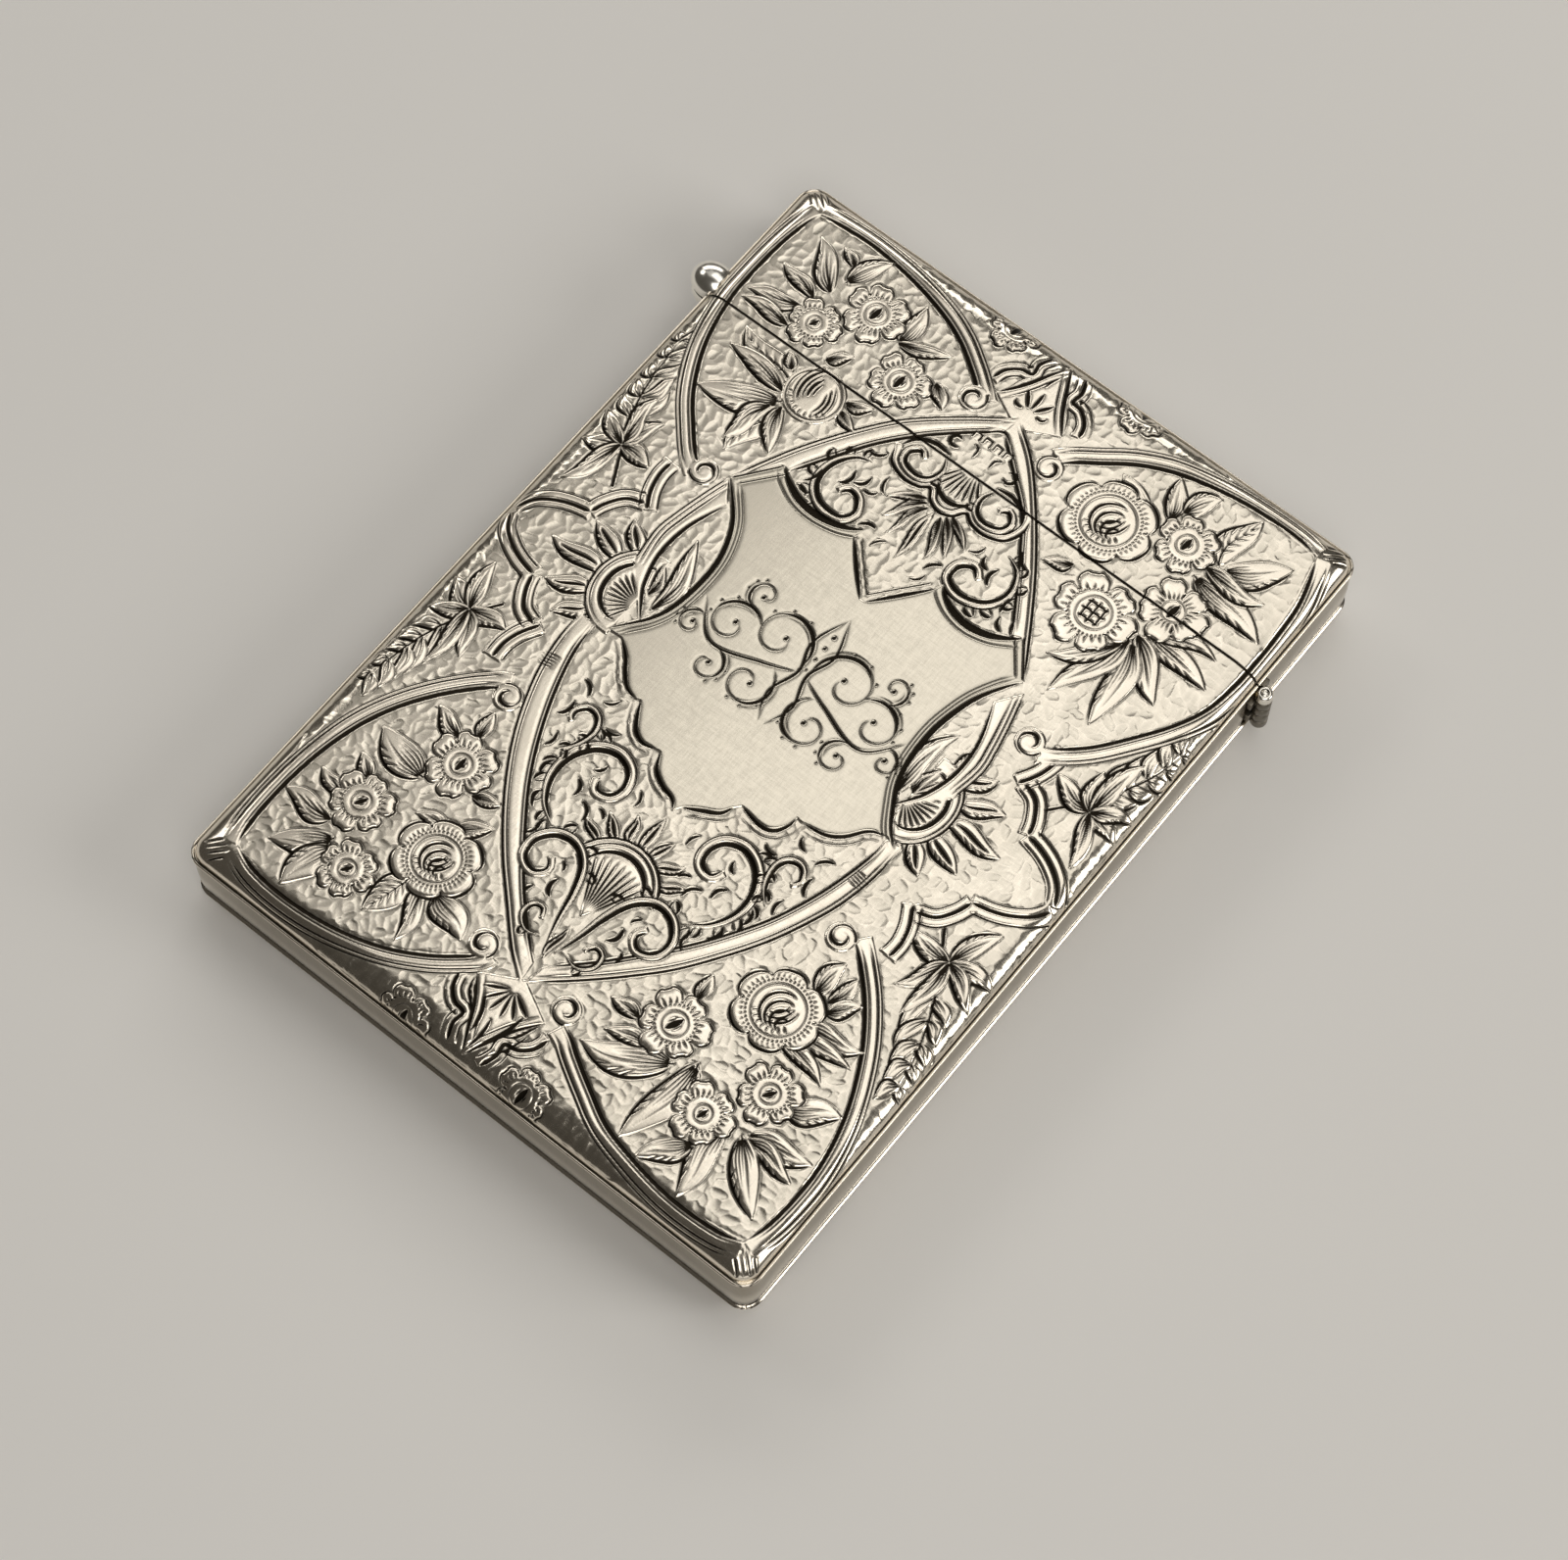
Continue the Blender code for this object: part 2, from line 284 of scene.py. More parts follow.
def leaf(p, base, tip, width, kind="plain", bend=None):
    """A pointed leaf; its kind says what is cut inside the outline."""
    bend = random.uniform(-0.09, 0.09) if bend is None else bend
    length = math.dist(base, tip)
    swerve = random.uniform(-0.05, 0.05) * length
    dx, dy = (tip[0] - base[0]) / length, (tip[1] - base[1]) / length
    sways = [swerve * math.sin(k * math.pi / 7) for k in range(15)]
    spine = [(x - dy * sway, y + dx * sway)
             for sway, (x, y) in zip(sways, bow(base, tip, bend, 14))]

    def at(t, s):
        """Point of the leaf: t along it, s across it from edge to edge."""
        k = min(13, max(0, int(t * 14)))
        f = t * 14 - k
        x = spine[k][0] * (1 - f) + spine[k + 1][0] * f
        y = spine[k][1] * (1 - f) + spine[k + 1][1] * f
        half = 0.58 * width * max(0.0, math.sin(math.pi * min(1, t ** 0.8))) ** 0.8
        return x - dy * s * half, y + dx * s * half

    left = [at(k / 14, 1) for k in range(15)]
    right = [at(k / 14, -1) for k in range(15)]
    p.fill(left + right[::-1], 0.02, 0.05, max(0.3, width * 0.35))
    heavy = (tip[1] - base[1]) * 0.6 - (tip[0] - base[0]) * 0.8 > 0
    for edge, dark_side in ((left, heavy), (right, not heavy)):
        p.cut(edge, min(0.28, 0.13 + 0.08 * width) if dark_side else 0.13,
              dark=1.0 if dark_side else 0.7)
    if kind == "slim":
        p.cut([at(0.05, 0), at(0.4, 0.08), at(0.8, 0)], 0.14, "tail")
        p.cut([at(0.1, -0.3), at(0.35, -0.45), at(0.6, -0.4)], 0.13, "tail")
        return
    if kind == "slit":
        p.cut([at(0.12 + t / 10, 0) for t in range(8)], 0.3)
    elif kind == "vein":
        p.cut([at(t / 8, 0) for t in range(8)], 0.16, "tail")
        for k in range(1, 6):
            t = 0.08 + k * 0.14
            for s in (-1, 1):
                p.cut([at(t, 0.05 * s), at(min(0.97, t + 0.16), 0.72 * s)], 0.12, "tail")
    elif kind == "hatch":
        p.cut([at(t / 8, 0.1) for t in range(8)], 0.14, "tail")
        for k in range(7):
            s = -0.85 + 0.25 * k
            p.cut([at(0.06, s * 0.7), at(0.3, s), at(0.75 - 0.06 * k, s * 0.95)], 0.14, "tail")
    else:
        for s, far in ((-0.62, 0.5), (-0.32, 0.7), (-0.04, 0.85), (0.26, 0.72), (0.56, 0.5)):
            p.cut([at(0.03, s * 0.4), at(far * 0.5, s * 0.9), at(far, s)],
                  0.2 if abs(s) < 0.2 else 0.15, "tail")
    side = 1 if heavy else -1
    for t in (0.5, 0.64, 0.78):
        p.trace([at(t, side * 0.95), at(t - 0.16, side * 0.5)], 0.16, "tail")


def flower(p, x, y, core, dots, reach, kind="eye"):
    """An open flower: six round petals, a ring of dots and an eye or a mesh."""
    petals = 6
    turn = random.uniform(0, math.pi / 3)
    outline, notches = [], []
    for k in range(petals * 14):
        angle = turn + 2 * math.pi * k / (petals * 14)
        side = abs((k % 14) / 7 - 1)
        r = reach * (0.64 + 0.38 * math.sqrt(max(0.0, 1 - side ** 2.6)) - 0.05 * (side < 0.16))
        r *= 1 + 0.06 * math.sin(3 * angle + turn)
        outline.append((x + r * math.cos(angle), y + r * math.sin(angle)))
        if k % 14 == 0:
            notches.append((angle, r))
    p.fill(outline, 0.03, 0.06, 0.7)
    inner = max(dots, core) + 0.2
    for k, (angle, r) in enumerate(notches):
        part = [outline[(k * 14 + q) % len(outline)] for q in range(15)]
        p.cut(part, 0.19, dark=0.85)
        ray(p, x, y, angle, r, inner, 0.2)
        for q, far in ((0.25, 0.5), (0.5, 0.4), (0.75, 0.55)):
            ray(p, x, y, angle + 2 * math.pi / petals * q, inner,
                inner + (reach - inner) * far, 0.13)
    dot_ring(p, x, y, dots, 0.44)
    p.cut(arc(x, y, core, 0, 360), 0.12, "none", dark=0.6)
    if kind == "mesh":
        for k in (-0.5, 0.0, 0.5):
            half = core * math.sqrt(1 - k * k) * 0.8
            p.cut([(x + core * k, y - half), (x + core * k, y + half)], 0.17, "ends")
            p.cut([(x - half, y + core * k), (x + half, y + core * k)], 0.17, "ends")
    else:
        a = random.uniform(0.9, 1.8)
        c, s = math.cos(a) * core * 0.75, math.sin(a) * core * 0.75
        p.cut([(x - c, y - s), (x, y), (x + c, y + s)], core * 0.45)
        for k in (-0.5, 0.5):
            p.cut([(x - c * 0.6 - s * k, y - s * 0.6 + c * k),
                   (x + c * 0.6 - s * k, y + s * 0.6 + c * k)], 0.12)


def rose(p, x, y, dots, reach):
    """An open rose: loose outer petals, a ring of dots and a folded heart."""
    turn = 0.3
    outline = []
    for k in range(72):
        angle = turn + math.pi * k / 36
        phase = abs(((k % 12) / 12) - 0.5) * 2
        r = reach * (0.98 - 0.17 * phase ** 3) * (1 + 0.05 * math.sin(2 * angle + 1))
        outline.append((x + r * math.cos(angle), y + r * math.sin(angle)))
    p.fill(outline, 0.03, 0.06, 0.7)
    for k in range(6):
        part = [outline[(k * 12 + q) % 72] for q in range(13)]
        p.cut(part, 0.24)
        a = turn + math.pi / 3 * k
        ray(p, x, y, a, reach * 0.8, dots + 0.3, 0.18)
        for q in range(1, 7):
            ray(p, x, y, a + math.pi / 3 * q / 7, dots + 0.3, dots + 0.75, 0.1)
    dot_ring(p, x, y, dots, 0.42)
    r = dots * 0.85
    p.cut(arc(x, y, r, 0, 360), 0.13, "none", dark=0.7)
    a = 40 * turn
    for k in range(4):
        p.cut(arc(x + (0.1 + 0.13 * k) * r, y - 0.12 * k * r, (0.74 - 0.16 * k) * r, a + 60,
                  a + 250), 0.25)
    for k in range(3):
        p.cut(arc(x - 0.3 * r, y + 0.35 * r, (0.95 - 0.2 * k) * r, a - 100, a - 10), 0.22)
    fan(p, x, y, r * 0.62, r * 0.95, 215, 325, 8, 0.12)


def volute(p, x, y, end, turn):
    """The rolled end of a ribbon: its outer line runs on from `end` into a spiral."""
    start = math.degrees(math.atan2(end[1] - y, end[0] - x))
    radius = min(1.5, math.dist((x, y), end))
    p.fill(arc(x, y, radius, 0, 360, count=24), 0.03, 0.03, 0.5)
    spiral = arc(x, y, radius, start - turn * 20, start + turn * 450, 0.22, 40)
    p.trace(spiral, 0.17, "tail")
    p.trace(spiral[12:34], 0.3)


def vine(p, points, side, body, width, lobes):
    """A stem rolled up at its start: a heavy line, a light body beside it and lobes."""
    line = spline(points)
    n = len(line) - 1
    edge = [shifted(line, side * body * math.sin(math.pi * min(1, 0.25 + 0.75 * k / n)) ** 0.6)[k]
            for k in range(n + 1)]
    p.fill(line + edge[::-1], 0.03, 0.04, 0.4)
    start, end, count = lobes
    for k in range(count):
        i = int(n * (start + (end - start) * k / max(1, count - 1)))
        j = min(n, i + 6)
        x, y = edge[i]
        dx, dy = edge[j][0] - x, edge[j][1] - y
        nx, ny = edge[i][0] - line[i][0], edge[i][1] - line[i][1]
        size = math.hypot(nx, ny) or 1.0
        tx, ty = x + 1.2 * nx / size + 0.55 * dx, y + 1.2 * ny / size + 0.55 * dy
        p.trace(bow((x, y), (tx, ty), 0.22 * side), 0.3)
        p.trace(bow((x + 0.3 * dx, y + 0.3 * dy), (tx, ty), -0.12 * side), 0.14)
    p.trace(edge, 0.16, dark=0.9)
    p.trace(line, width * 0.72)
    p.trace(line[:n // 3], width * 0.6)


def commas(p, marks, x=1, dx=0.0):
    """Tapering flicks of the graver: x0, y0, x1, y1, width, bend; mirrored where x is -1."""
    for x0, y0, x1, y1, width, bend in marks:
        start, end = mirrored(pairs(x0, y0, x1, y1), x, 1, dx)
        p.trace(bow(start, end, bend * x), width)


def mirrored(points, x=1, y=1, dx=0.0, dy=0.0):
    """The points mirrored where x or y is -1, then moved by dx and dy."""
    return [(px * x + dx, py * y + dy) for px, py in points]


# ---- the design -----------------------------------------------------------------------
ARMS = [  # inner line of each ribbon from the corner to its rolled end, which side is out
    (pairs(-31.6, 45.7, -29, 46.1, -25.5, 46.3, -22, 46, -18, 45.3, -14, 44.2, -11, 42.9,
           -8.5, 41.3, -6.5, 39.8, -5.1, 38.5), 1),
    (pairs(-31.6, 45.7, -32.2, 44, -32.7, 41, -32.9, 38, -32.9, 35, -32.7, 32.2,
           -31.8, 28, -30.5, 24.5, -28.5, 21, -26, 18, -24, 15.9, -22.2, 14.6), -1),
    (pairs(31.8, 45.9, 29.5, 46.5, 26.5, 46.6, 23, 46.4, 19, 45.7, 15, 44.6, 11.5, 42.9,
           8.5, 40.7, 6.5, 39.2, 5.2, 37.8), -1),
    (pairs(31.8, 45.9, 32.8, 43.5, 33.6, 40.5, 33.9, 37, 34, 33, 33.9, 29.5, 33.3, 25.5,
           31.8, 22, 29.5, 18.5, 27, 15.2, 24.5, 12.9, 22.8, 11.9), 1),
    (pairs(-31.2, -45.3, -28.5, -46.2, -25, -46.5, -21, -46.3, -17, -45.6, -13, -44.3,
           -9.5, -42.4, -7, -40.5, -5.6, -39.2, -5.3, -38.4), -1),
    (pairs(-31.4, -45.3, -31.9, -43, -32.1, -40, -32, -36, -31.5, -32, -30.5, -28,
           -29, -24.5, -27, -21.3, -24.7, -18.5, -22.8, -16.7, -21.5, -16), 1),
    (pairs(32.3, -45.5, 30, -46.2, 26.5, -46.5, 23, -46.4, 19, -45.8, 15, -44.8,
           11.5, -43, 8.5, -41.3, 6.8, -40.2, 5.4, -39.6), 1),
    (pairs(32.3, -45.5, 33, -43, 33.3, -40, 33.3, -36.5, 32.8, -33, 31.8, -29.5,
           30.3, -26, 28.5, -22.8, 26, -19.5, 23.5, -17, 21.5, -15.4), -1),
]
VOLUTES = [(-6, 38.6, -1), (-22, 14.8, 1), (4.9, 37, 1), (21.9, 11.8, -1), (-6, -38, 1),
           (-21.1, -16.7, -1), (4.6, -38.3, -1), (20.3, -15.9, 1)]  # middle, which way it rolls
VESICA = [  # outer line, inner line, and to which side of them the middle lies
    (pairs(-0.9, 39.6, -5, 36.6, -9.8, 32.4, -13, 28.3, -16, 23.5, -18, 19.5, -19.6, 15.9),
     pairs(-1.2, 37.5, -4.6, 34.6, -7.6, 31.7, -10.5, 28.2, -13, 24.2, -15.3, 20.2), 1),
    (pairs(-0.9, 39.6, 3, 36.6, 6.8, 32.4, 10.5, 27.6, 13.5, 23.1, 16, 19, 17.5, 16.4),
     pairs(-1.2, 37.5, 2.6, 34.2, 5.8, 31.3, 8.6, 27.4, 11.2, 23.4, 13.4, 19.9), -1),
    (pairs(-21.5, -5, -21.5, -8, -20.9, -12, -19.8, -15.5, -18.3, -19, -16.3, -22.5, -13.7, -26.2,
           -10.5, -30, -7.3, -33.2, -3.6, -36.8, -0.7, -39),
     pairs(-19.6, -5.4, -19.3, -8.6, -18.4, -12, -17.2, -15.3, -15.5, -19, -13.5, -22.5, -11, -26,
           -8, -29.8, -4.8, -33.2, -1, -36.6), 1),
    (pairs(19, -5, 18.9, -9, 18.2, -13, 17, -16.5, 15.2, -20.5, 12.8, -24.5, 10, -28.5, 6.8, -32,
           3.5, -35.2, -0.3, -38.5),
     pairs(17.4, -5.2, 17.3, -7.5, 16.6, -11, 15.6, -14.5, 14, -18.5, 12, -22, 9.8, -25.3, 7, -28.8,
           3.8, -32.5, 0, -36.3), -1),
]
SHIELD = [  # width and course of the lines round the plain shield, in order
    (0.7, pairs(-16, 20.4, -14.5, 19.3, -12.5, 18.4, -10.3, 18.15, -8, 18.5, -6.5, 19.1,
                -5.2, 19.9)),
    (0.34, pairs(-5.6, 18.6, -3.2, 16, -0.8, 13.5)),
    (0.38, pairs(-0.3, 13.5, 2, 16.3, 4.4, 19.2)),
    (0.7, pairs(4.7, 20.1, 5.5, 19.2, 7.2, 18.3, 9.3, 17.95, 11.5, 18.4, 13.2, 19.3, 14.5, 20.2)),
    (0.5, pairs(17.4, 16.5, 16, 14.4, 14.8, 12, 14.1, 9.5, 13.7, 7, 13.7, 4.5, 14, 2, 14.6, 0,
                15.7, -2, 17, -4, 18.7, -5.7)),
    (0.3, pairs(17.2, -4.9, 15.5, -5.6, 14, -7.5, 12.3, -8.6, 9.8, -9)),
    (0.34, pairs(9.2, -8.9, 9, -10.2, 8.2, -11.4, 6.8, -11.8, 4.2, -11.3)),
    (0.36, pairs(3.7, -11.9, 3, -13.2, 1.3, -14.2, -0.3, -15.1)),
    (0.36, pairs(-0.8, -15.9, -1.6, -15, -3.3, -14.5, -4.8, -13.5, -5.7, -11.8)),
    (0.36, pairs(-6.2, -11.9, -7.7, -12.2, -9, -11.6, -10, -10.2, -10.7, -8.8)),
    (0.34, pairs(-11.2, -9, -12.6, -8.6, -13.8, -7.5, -15, -6, -16.6, -4.7)),
    (0.5, pairs(-18.4, -4.8, -17, -3, -15.7, -1.2, -14.8, 1, -14.4, 4, -14.4, 7, -14.9, 9.5,
                -16, 12, -17.6, 14, -19.5, 15.9)),
]
FLOWERS = [  # x, y, core, ring of dots, reach, kind where it is not an eye
    (-19.8, 40, 1.2, 1.9, 3.5), (-24.1, 35.2, 0.8, 1.7, 2.9), (-13, 35.3, 1.2, 1.9, 3.3),
    (20.9, 38.8, 1.1, 2, 3.3), (24.3, 32, 1.25, 0, 3.6), (18.2, 26.9, 1.85, 2.6, 4.4, "mesh"),
    (-20, -25.2, 1.1, 1.9, 3.6), (-25, -34.3, 1, 1.9, 3.3), (-21.4, -40.5, 0.9, 1.8, 3),
    (13.5, -32.9, 1.3, 2, 3.6), (25, -32.7, 1, 1.8, 3.2), (21.3, -38.2, 0.9, 1.8, 3.2),
]
END_FLOWERS = [(-7.5, 47.8, 1.2, 1.9, 2.8), (8.7, 48.5, 1.3, 2, 3), (-7.5, -48.5, 1.2, 1.9, 2.9),
               (6.7, -47.5, 1.2, 1.9, 2.8)]
ROSES = [(13.2, 36, 3.4, 5), (-15.3, -34.3, 2.9, 4.5), (20.3, -25.6, 3.2, 4.6)]
LEAVES = [  # base, tip, width, kind where it is not plain
    (-25, 39, -29.9, 43.7, 2.2), (-24.5, 41, -22, 46, 2, "hatch"), (-26, 37.5, -31, 38.8, 1.6),
    (-26.5, 36, -32, 34.2, 1.8), (-26, 33.3, -32, 33, 1.6), (-25, 43, -27.2, 44.2, 1.2),
    (-15.8, 38.8, -16.2, 44, 2, "hatch"), (-16, 38.8, -10.5, 41, 1.4),
    (-20.5, 32.6, -18.4, 34.6, 1.3), (-10, 37.6, -7.6, 35.4, 1.5),
    (-21.5, 28.2, -29.3, 30.6, 2.6, "vein"), (-21.5, 27, -29.3, 28, 2),
    (-21, 26, -29, 22.2, 3, "hatch"), (-20.5, 25.5, -22, 18, 3, "vein"), (-21.5, 25, -23, 19, 2),
    (-15.7, 29, -13, 27.8, 1.2), (-15.8, 30, -13, 31.2, 1.3), (-22.5, 29.5, -24, 31.1, 1.2),
    (-20.6, 25.6, -18.2, 20.4, 1.8), (17.5, 38, 11.2, 41.2, 2.8, "hatch"),
    (18, 40, 16, 44.6, 2, "hatch"), (18.5, 41.5, 20.7, 45.2, 2.2),
    (24.7, 39, 25.4, 45.7, 2.6, "vein"), (25.5, 38.8, 31, 43.2, 2.8, "hatch"),
    (23.5, 36.5, 33, 34.4, 2.6, "hatch"), (23.8, 38, 31, 38.3, 1.9), (23.3, 28.5, 32, 27, 2.2),
    (23.5, 28.8, 31, 30.2, 1.5), (23, 27.8, 29, 22.5, 2.4), (23, 27, 25.2, 16.8, 2.6, "hatch"),
    (22.8, 27, 19.8, 17.3, 2.2), (22.5, 26, 17.2, 20.5, 1.8), (13.4, 30, 10.6, 28.4, 1.3),
    (-22, -28.5, -28.6, -26.8, 3.2, "hatch"), (-22, -23, -25.8, -21.6, 1.7),
    (-20.5, -22, -21, -18.8, 1.5), (-26, -32, -28.4, -30.2, 1.6), (-26.5, -35, -30.4, -33.8, 1.6),
    (-26, -37.5, -31.8, -37.7, 2.2), (-24.5, -38.8, -29.5, -42.8, 2.5, "hatch"),
    (-24, -39.5, -25.5, -45.7, 3, "hatch"), (-15.8, -37, -17.5, -42.8, 3, "vein"),
    (-14.5, -37, -13, -43.2, 1.8), (-13, -37, -8, -39.2, 2.8, "hatch"),
    (-16, -31, -13, -28.3, 1.6), (-16.5, -31, -20, -31.8, 1.5), (-17, -27, -14, -26, 1.3),
    (22, -22, 22.5, -17.8, 2), (23.5, -22, 24.4, -18.2, 1.6), (24, -23, 26.4, -20.2, 1.6),
    (23, -25, 29.4, -23.8, 1.8), (22, -26.5, 29.4, -25.9, 1.6), (22, -27.5, 28.2, -29, 1.6),
    (27, -33, 31.8, -30.2, 2.5, "hatch"), (26, -37, 32.6, -35.6, 2.2),
    (26, -37.6, 32.2, -38.4, 1.7), (25.5, -37.5, 31.5, -43.3, 2.5, "hatch"),
    (24, -38, 24.5, -46, 2.6, "hatch"), (22.5, -41, 19, -45.5, 2.2, "hatch"),
    (17.8, -34.5, 16.5, -44.9, 3, "hatch"), (16, -36, 7.5, -39.7, 3.2, "hatch"),
    (13, -36, 8.6, -37.4, 1.6), (10.5, -34.5, 7, -34.5, 1.5), (13.6, -29.6, 13.2, -26.6, 1.5),
]
SPRIGS = [  # stem, node, tips of the leaves
    (pairs(-28.2, 7.8, -30, 11.3, -31.8, 15, -33, 19.5, -33.5, 24, -33.8, 27), (-30.5, 12),
     pairs(-26.6, 11.6, -34.3, 10.3, -33, 5.2, -28.5, 16.5, -30.8, 18.5, -34.6, 14.6)),
    (pairs(27.5, 7, 30, 10, 32, 13, 33.7, 17, 34.6, 22), (31, 9.5),
     pairs(26, 10.8, 29.5, 13.8, 32.3, 16.8, 34.8, 8.5, 33, 3.5, 35, 11.4)),
    (pairs(-28.2, -9.3, -30.2, -12.3, -31.8, -16, -32.9, -20, -33.8, -25), (-30.4, -11.8),
     pairs(-34, -9.8, -31.7, -6.2, -26, -11.3, -34, -14, -27.8, -16.5, -30.2, -18.9)),
    (pairs(27.5, -9, 30, -13, 32, -17, 33.5, -21.5, 34.3, -26), (30, -11.5),
     pairs(25, -11, 32.5, -6, 35, -11, 34.5, -14.3, 27.2, -16.5, 29.5, -18.5)),
]


def corners(p):
    """Smooth corners outside the ribbons, with a few ticks across each mitre."""
    for sx, sy, (tx, ty) in ((-1, 1, (-31.6, 45.7)), (1, 1, (31.8, 45.9)),
                             (-1, -1, (-31.3, -45.3)), (1, -1, (32.3, -45.5))):
        line = [(tx, ty)] + mirrored(pairs(26, 46.4, 21, 47.4, 18, 48.6, 21, 49.2, 35.6, 49.2,
                                           35.6, 37, 35, 33.4, 34.2, 32, 33.4, 36, 32.8, 41),
                                     sx, sy)
        p.fill(line, 0.0)
        for k in range(4):
            off = 0.45 * (k - 1.5)
            p.cut([(tx + sx * (0.3 + off), ty + sy * (0.5 - off)),
                   (tx + sx * (2.4 + off), ty + sy * (2.4 - off))], 0.16)


def sprigs(p):
    """Stems along the long sides: leaflets in pairs, and a spray of leaves at a node."""
    for stem, (nx, ny), tips in SPRIGS:
        line = spline(stem)
        side = 1 if stem[0][0] > 0 else -1
        up = 1 if stem[0][1] > 0 else -1
        for k in range(5):
            i = int((len(line) - 2) * (0.4 + 0.13 * k))
            x, y = line[i]
            heading = math.atan2(line[i + 1][1] - y, line[i + 1][0] - x)
            for way, size in ((-1, 3.0 - 0.35 * k), (1, 5.2 - 0.6 * k)):
                angle = heading + 0.55 * way * side * up
                leaf(p, (x, y), (x + size * math.cos(angle), y + size * math.sin(angle)), 1.35,
                     "slim", 0.12 * way * side * up)
        p.trace(line, 0.26, "tail")
        for k, tip in enumerate(tips):
            leaf(p, (nx, ny), tip, 1.9 if k < 3 else 1.6, "plain", 0.06)


def side_frames(p):
    """Ogee frames and half rosettes in the middle of the long sides."""
    frames = [pairs(-34.5, 0.1, -33.4, 1.8, -31.8, 3, -30, 3.8, -27.9, 4.3),
              pairs(-28, 4.3, -27.4, 6, -26.2, 7.7, -24.3, 8.5),
              pairs(-25.2, 13.8, -25.3, 12, -24.8, 10, -23.7, 8)]
    for sx, sy, dx, dy in ((1, 1, 0, -0.2), (1, -1, 0, -0.6), (-1, 1, -0.1, -0.5),
                           (-1, -1, -0.1, -0.9)):
        lines = [spline(mirrored(points, sx, sy, dx, dy)) for points in frames]
        for line in lines:
            p.fill(shifted(line, 1.1) + shifted(line, -0.9)[::-1], 0.02)
        for line in lines:
            p.trace(line, 0.32, "ends")
            p.trace(shifted(line, sx * sy * 1.05), 0.14, "ends")
            p.trace(shifted(line, -sx * sy * 0.85), 0.13, "ends")
    for sx, cx, cy, rx, tip in ((-1, -18.8, -0.3, 4.5, 10.5), (1, 17.1, 0.1, 4.2, 10.2)):
        for degrees, reach, wide in ((0, 1.0, 1.9), (27, 0.86, 1.8), (-27, 0.86, 1.8),
                                     (52, 0.8, 1.7), (-52, 0.8, 1.7), (76, 0.76, 1.5),
                                     (-76, 0.76, 1.5)):
            a = math.radians(degrees)
            c, s = sx * math.cos(a), math.sin(a)
            leaf(p, (cx + c * (rx - 0.6), cy + s * 4.6),
                 (cx + c * tip * reach, cy + s * tip * reach), wide, "slit", 0.0)

        def ring(scale):
            return [(cx + sx * rx * scale * math.cos(t), cy + 5.1 * scale * math.sin(t))
                    for t in (math.radians(-100 + 10 * k) for k in range(21))]

        p.fill(ring(1), 0.03)
        for scale, width in ((1, 0.2), (0.9, 0.14), (0.68, 0.42)):
            p.cut(ring(scale), width)
        middle = 90 - 90 * sx
        fan(p, cx - sx * 1.2, cy - 0.6, 0.8, 3.7, middle - 62, middle + 62, 12, 0.17)


def side_lenses(p):
    """The two slim lenses beside the shield, each with a flame-like leaf."""
    for sx, dx, dy in ((-1, 0.0, 0.0), (1, -1.3, -0.4)):
        outer = mirrored(pairs(19.6, 15.9, 20.4, 13, 21.2, 9.5, 21.6, 6.5, 21, 2.5), sx, 1, dx, dy)
        inner = mirrored(pairs(17.8, 13.4, 19.3, 9, 19.6, 5, 18.7, 1.5, 17.5, -0.5, 16, -2.6),
                         sx, 1, dx, dy)
        line = spline(outer)
        p.fill(line + spline(inner)[::-1], 0.02)
        p.cut(inner, 0.34)
        p.cut(outer, 0.16, "ends")
        p.trace(shifted(line, 0.45 * -sx), 0.12, "ends")
        p.trace(shifted(line, 0.95 * -sx), 0.16)
        for x0, y0, x1, y1, wide in ((17.6, 0.6, 18.4, 4.4, 1.1), (16.3, -0.6, 17.5, 8.4, 1.9)):
            a, b = mirrored(pairs(x0, y0, x1, y1), sx, 1, dx, dy)
            leaf(p, a, b, wide, "plain", 0.1 * sx)


def vesica(p):
    """The pointed oval: four ribbons with a hairline inside each edge, and two ties."""
    for outer, inner, side in VESICA:
        a, b = spline(outer), spline(inner)
        p.fill(a + b[::-1], 0.03)
        for line, width in ((b, 0.26), (a, 0.2), (shifted(a, 0.42 * side), 0.12),
                            (shifted(b, -0.36 * side), 0.12)):
            p.trace(line, width, "ends")
    for x, y, way in ((-20.6, -10.4, -1), (17.9, -9.6, 1)):
        for k in range(5):
            p.cut([(x - 1.1, y - 0.34 * k + 0.15 * way), (x + 1.1, y - 0.34 * k - 0.15 * way)],
                  0.11)


def shield(p):
    """The plain shield, its heavy outline and the hairlines beside it."""
    lines = [spline(points) for _, points in SHIELD]
    # plain=1.0 marks the shield for painted shade: the material darkens its tone to stand for a
    # dimmer reflection
    p.fill(sum(lines, []), 0.03, plain=1.0)
    for line, (width, _) in zip(lines, SHIELD):
        p.trace(line, width)
    for k, away in ((0, -0.95), (3, -0.95), (4, -0.6), (11, -0.6), (4, -0.95), (11, -0.95)):
        p.trace(shifted(lines[k], away), 0.12, "ends", dark=0.8)
    for line in lines[1:3]:
        p.trace(shifted(line, 0.75), 0.12, "ends")
    for line in lines[5:11]:
        p.trace(shifted(line, 0.8), 0.13, dark=0.8)
    for a, b in (((-16, 20.5), (-19.5, 15.9)), ((14.4, 20.6), (17.4, 16.5))):
        p.cut([a, b], 0.16, "ends")
        p.cut([(a[0] * 0.95, a[1] - 0.6), (b[0] * 0.955, b[1] - 0.2)], 0.12, "ends")


